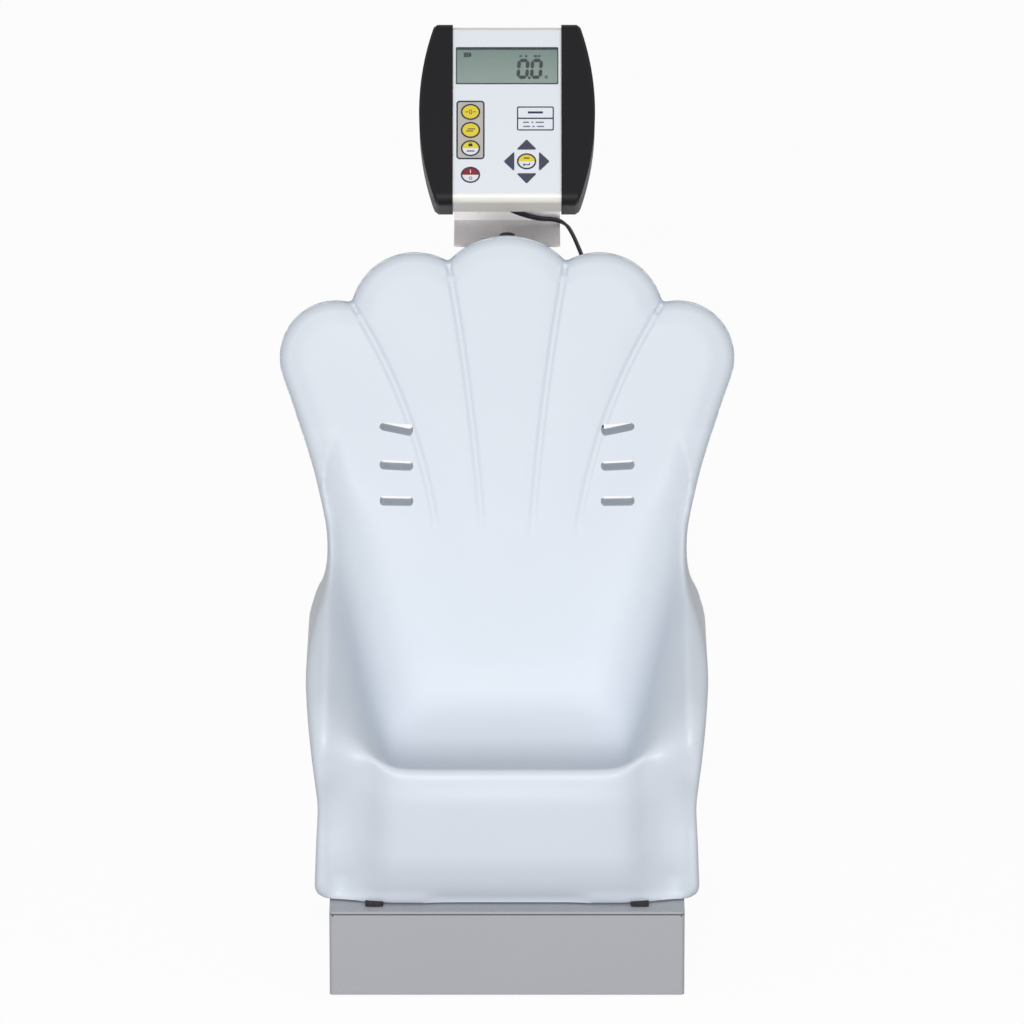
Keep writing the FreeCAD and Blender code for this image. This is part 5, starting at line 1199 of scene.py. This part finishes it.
class SCALE_OT_screws(bpy.types.Operator):
    """Dark crosses on the screws of the end caps: painted shade in place of cross recesses"""
    bl_idname = "scale.screws"
    bl_label = "Screw recesses"

    def execute(self, context):
        points = [(side * CAP_SCREW_FACE, y, end * z)
                  for side in (-1, 1) for y, z in PORTS for end in (-1, 1)]
        mesh = bpy.data.meshes.new("drive_points")
        mesh.from_pydata(points, [], [])
        holder = new_object("drive_points", mesh)
        marks = holder.modifiers.new("marks", "NODES")
        marks.node_group = recess_tree()
        # near-black crosses: painted shade standing in for the recesses' hollows
        dark = shader("painted_recess_shade", linear(12, 12, 14), 0.7, bump=0.0)
        for item in marks.node_group.interface.items_tree:
            if item.name == "Finish":
                marks[item.identifier] = dark
        drives = baked(holder, "screw_drive_shade")
        drives.data.transform(HEAD_PLACE)
        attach(drives, "head")
        return {"FINISHED"}


# ---------- stage
KEY_LAMP_AT = Vector((-0.10, -3.2, 1.15))
KEY_LAMP_AIM = Vector((0, 0, 0.30))
KEY_LAMP_SIZE = (1.0, 0.9)
KEY_LAMP_POWER = 64
FLOOR_RADIUS = 9.0
# how much of the floor is pure white to the camera; the rest keeps the shadow
FLOOR_GLOW = 0.95


def white_to_camera(tree):
    """Node whose Value is 1 for camera, glossy and transmission rays."""
    path = node(tree, "ShaderNodeLightPath", -700, 300)
    first = node(tree, "ShaderNodeMath", -500, 300, operation="MAXIMUM")
    second = node(tree, "ShaderNodeMath", -300, 300, operation="MAXIMUM")
    wire(tree, (path, "Is Camera Ray", first, 0), (path, "Is Glossy Ray", first, 1),
         (first, "Value", second, 0), (path, "Is Transmission Ray", second, 1))
    return second


def floor_white():
    """White to the camera with the object's shadow, and mid grey to the light it returns."""
    material = bpy.data.materials.new("floor_white")
    material.use_nodes = True
    tree = material.node_tree
    bsdf = tree.nodes["Principled BSDF"]
    fill(bsdf, {"Roughness": 0.9})
    seen = white_to_camera(tree)
    shade = node(tree, "ShaderNodeMix", -300, 0, data_type="RGBA")
    fill(shade, {"A": (0.30, 0.30, 0.31, 1), "B": (1.0, 1.0, 1.0, 1)})
    glow = node(tree, "ShaderNodeEmission", 0, -300)
    fill(glow, {"Strength": 1.0})
    reach = node(tree, "ShaderNodeMath", -100, 300, operation="MULTIPLY")
    fill(reach, {1: FLOOR_GLOW})
    blend = node(tree, "ShaderNodeMixShader", 300, 0)
    wire(tree,
         (seen, "Value", shade, "Factor"), (shade, "Result", bsdf, "Base Color"),
         (seen, "Value", reach, 0), (reach, "Value", blend, "Fac"),
         (bsdf, "BSDF", blend, 1), (glow, "Emission", blend, 2),
         (blend, "Shader", tree.nodes["Material Output"], "Surface"))
    return material


def white_world(level_elsewhere):
    """World that is white to the camera and of a set level to everything else."""
    world = bpy.data.worlds.new("surroundings")
    world.use_nodes = True
    tree = world.node_tree
    background = tree.nodes["Background"]
    fill(background, {"Color": (1, 1, 1, 1)})
    level = node(tree, "ShaderNodeMapRange", -100, 300)
    fill(level, {"To Min": level_elsewhere, "To Max": 1.0})
    wire(tree, (white_to_camera(tree), "Value", level, "Value"),
         (level, "Result", background, "Strength"))
    return world


def key_lamp():
    data = bpy.data.lights.new("key", "AREA")
    data.shape = "RECTANGLE"
    data.size, data.size_y = KEY_LAMP_SIZE
    data.energy = KEY_LAMP_POWER
    lamp = bpy.data.objects.new("key", data)
    lamp.location = KEY_LAMP_AT
    lamp.rotation_euler = (KEY_LAMP_AIM - KEY_LAMP_AT).to_track_quat("-Z", "Y").to_euler()
    bpy.context.scene.collection.objects.link(lamp)


class SCALE_OT_stage(bpy.types.Operator):
    """Pale floor, a soft lamp and white surroundings"""
    bl_idname = "scale.stage"
    bl_label = "Stage"

    def execute(self, context):
        bm = bmesh.new()
        bmesh.ops.create_circle(bm, cap_ends=True, segments=96, radius=FLOOR_RADIUS)
        floor = new_object("floor", mesh_from(bm, "floor"))
        floor.data.materials.append(floor_white())
        context.scene.world = white_world(settings().light_level)
        key_lamp()
        context.scene.view_settings.view_transform = "Standard"
        return {"FINISHED"}


# ---------- panel and order
ORDER = ["camera", "lead", "seat", "base", "head", "keys", "film_print", "display", "screws",
         "stage"]


class SCALE_PT_panel(bpy.types.Panel):
    """The scale's settings and pieces"""
    bl_idname = "SCALE_PT_panel"
    bl_label = "Infant chair scale"
    bl_space_type = "VIEW_3D"
    bl_region_type = "UI"
    bl_category = "Scale"

    def draw(self, context):
        for name in ScaleSettings.__annotations__:
            self.layout.prop(context.scene.chair_scale, name)
        for name in ORDER:
            self.layout.operator("scale." + name)


CLASSES = (
    ScaleSettings, SCALE_OT_camera, SCALE_OT_lead, SCALE_OT_seat, SCALE_OT_base,
    SCALE_OT_head, SCALE_OT_keys, SCALE_OT_film_print, SCALE_OT_display, SCALE_OT_screws,
    SCALE_OT_stage, SCALE_PT_panel)


def register():
    for cls in CLASSES:
        bpy.utils.register_class(cls)
    bpy.types.Scene.chair_scale = bpy.props.PointerProperty(type=ScaleSettings)


def unregister():
    del bpy.types.Scene.chair_scale
    for cls in reversed(CLASSES):
        bpy.utils.unregister_class(cls)


def main():
    register()
    for name in ORDER:
        getattr(bpy.ops.scale, name)()


if __name__ == "__main__":
    main()
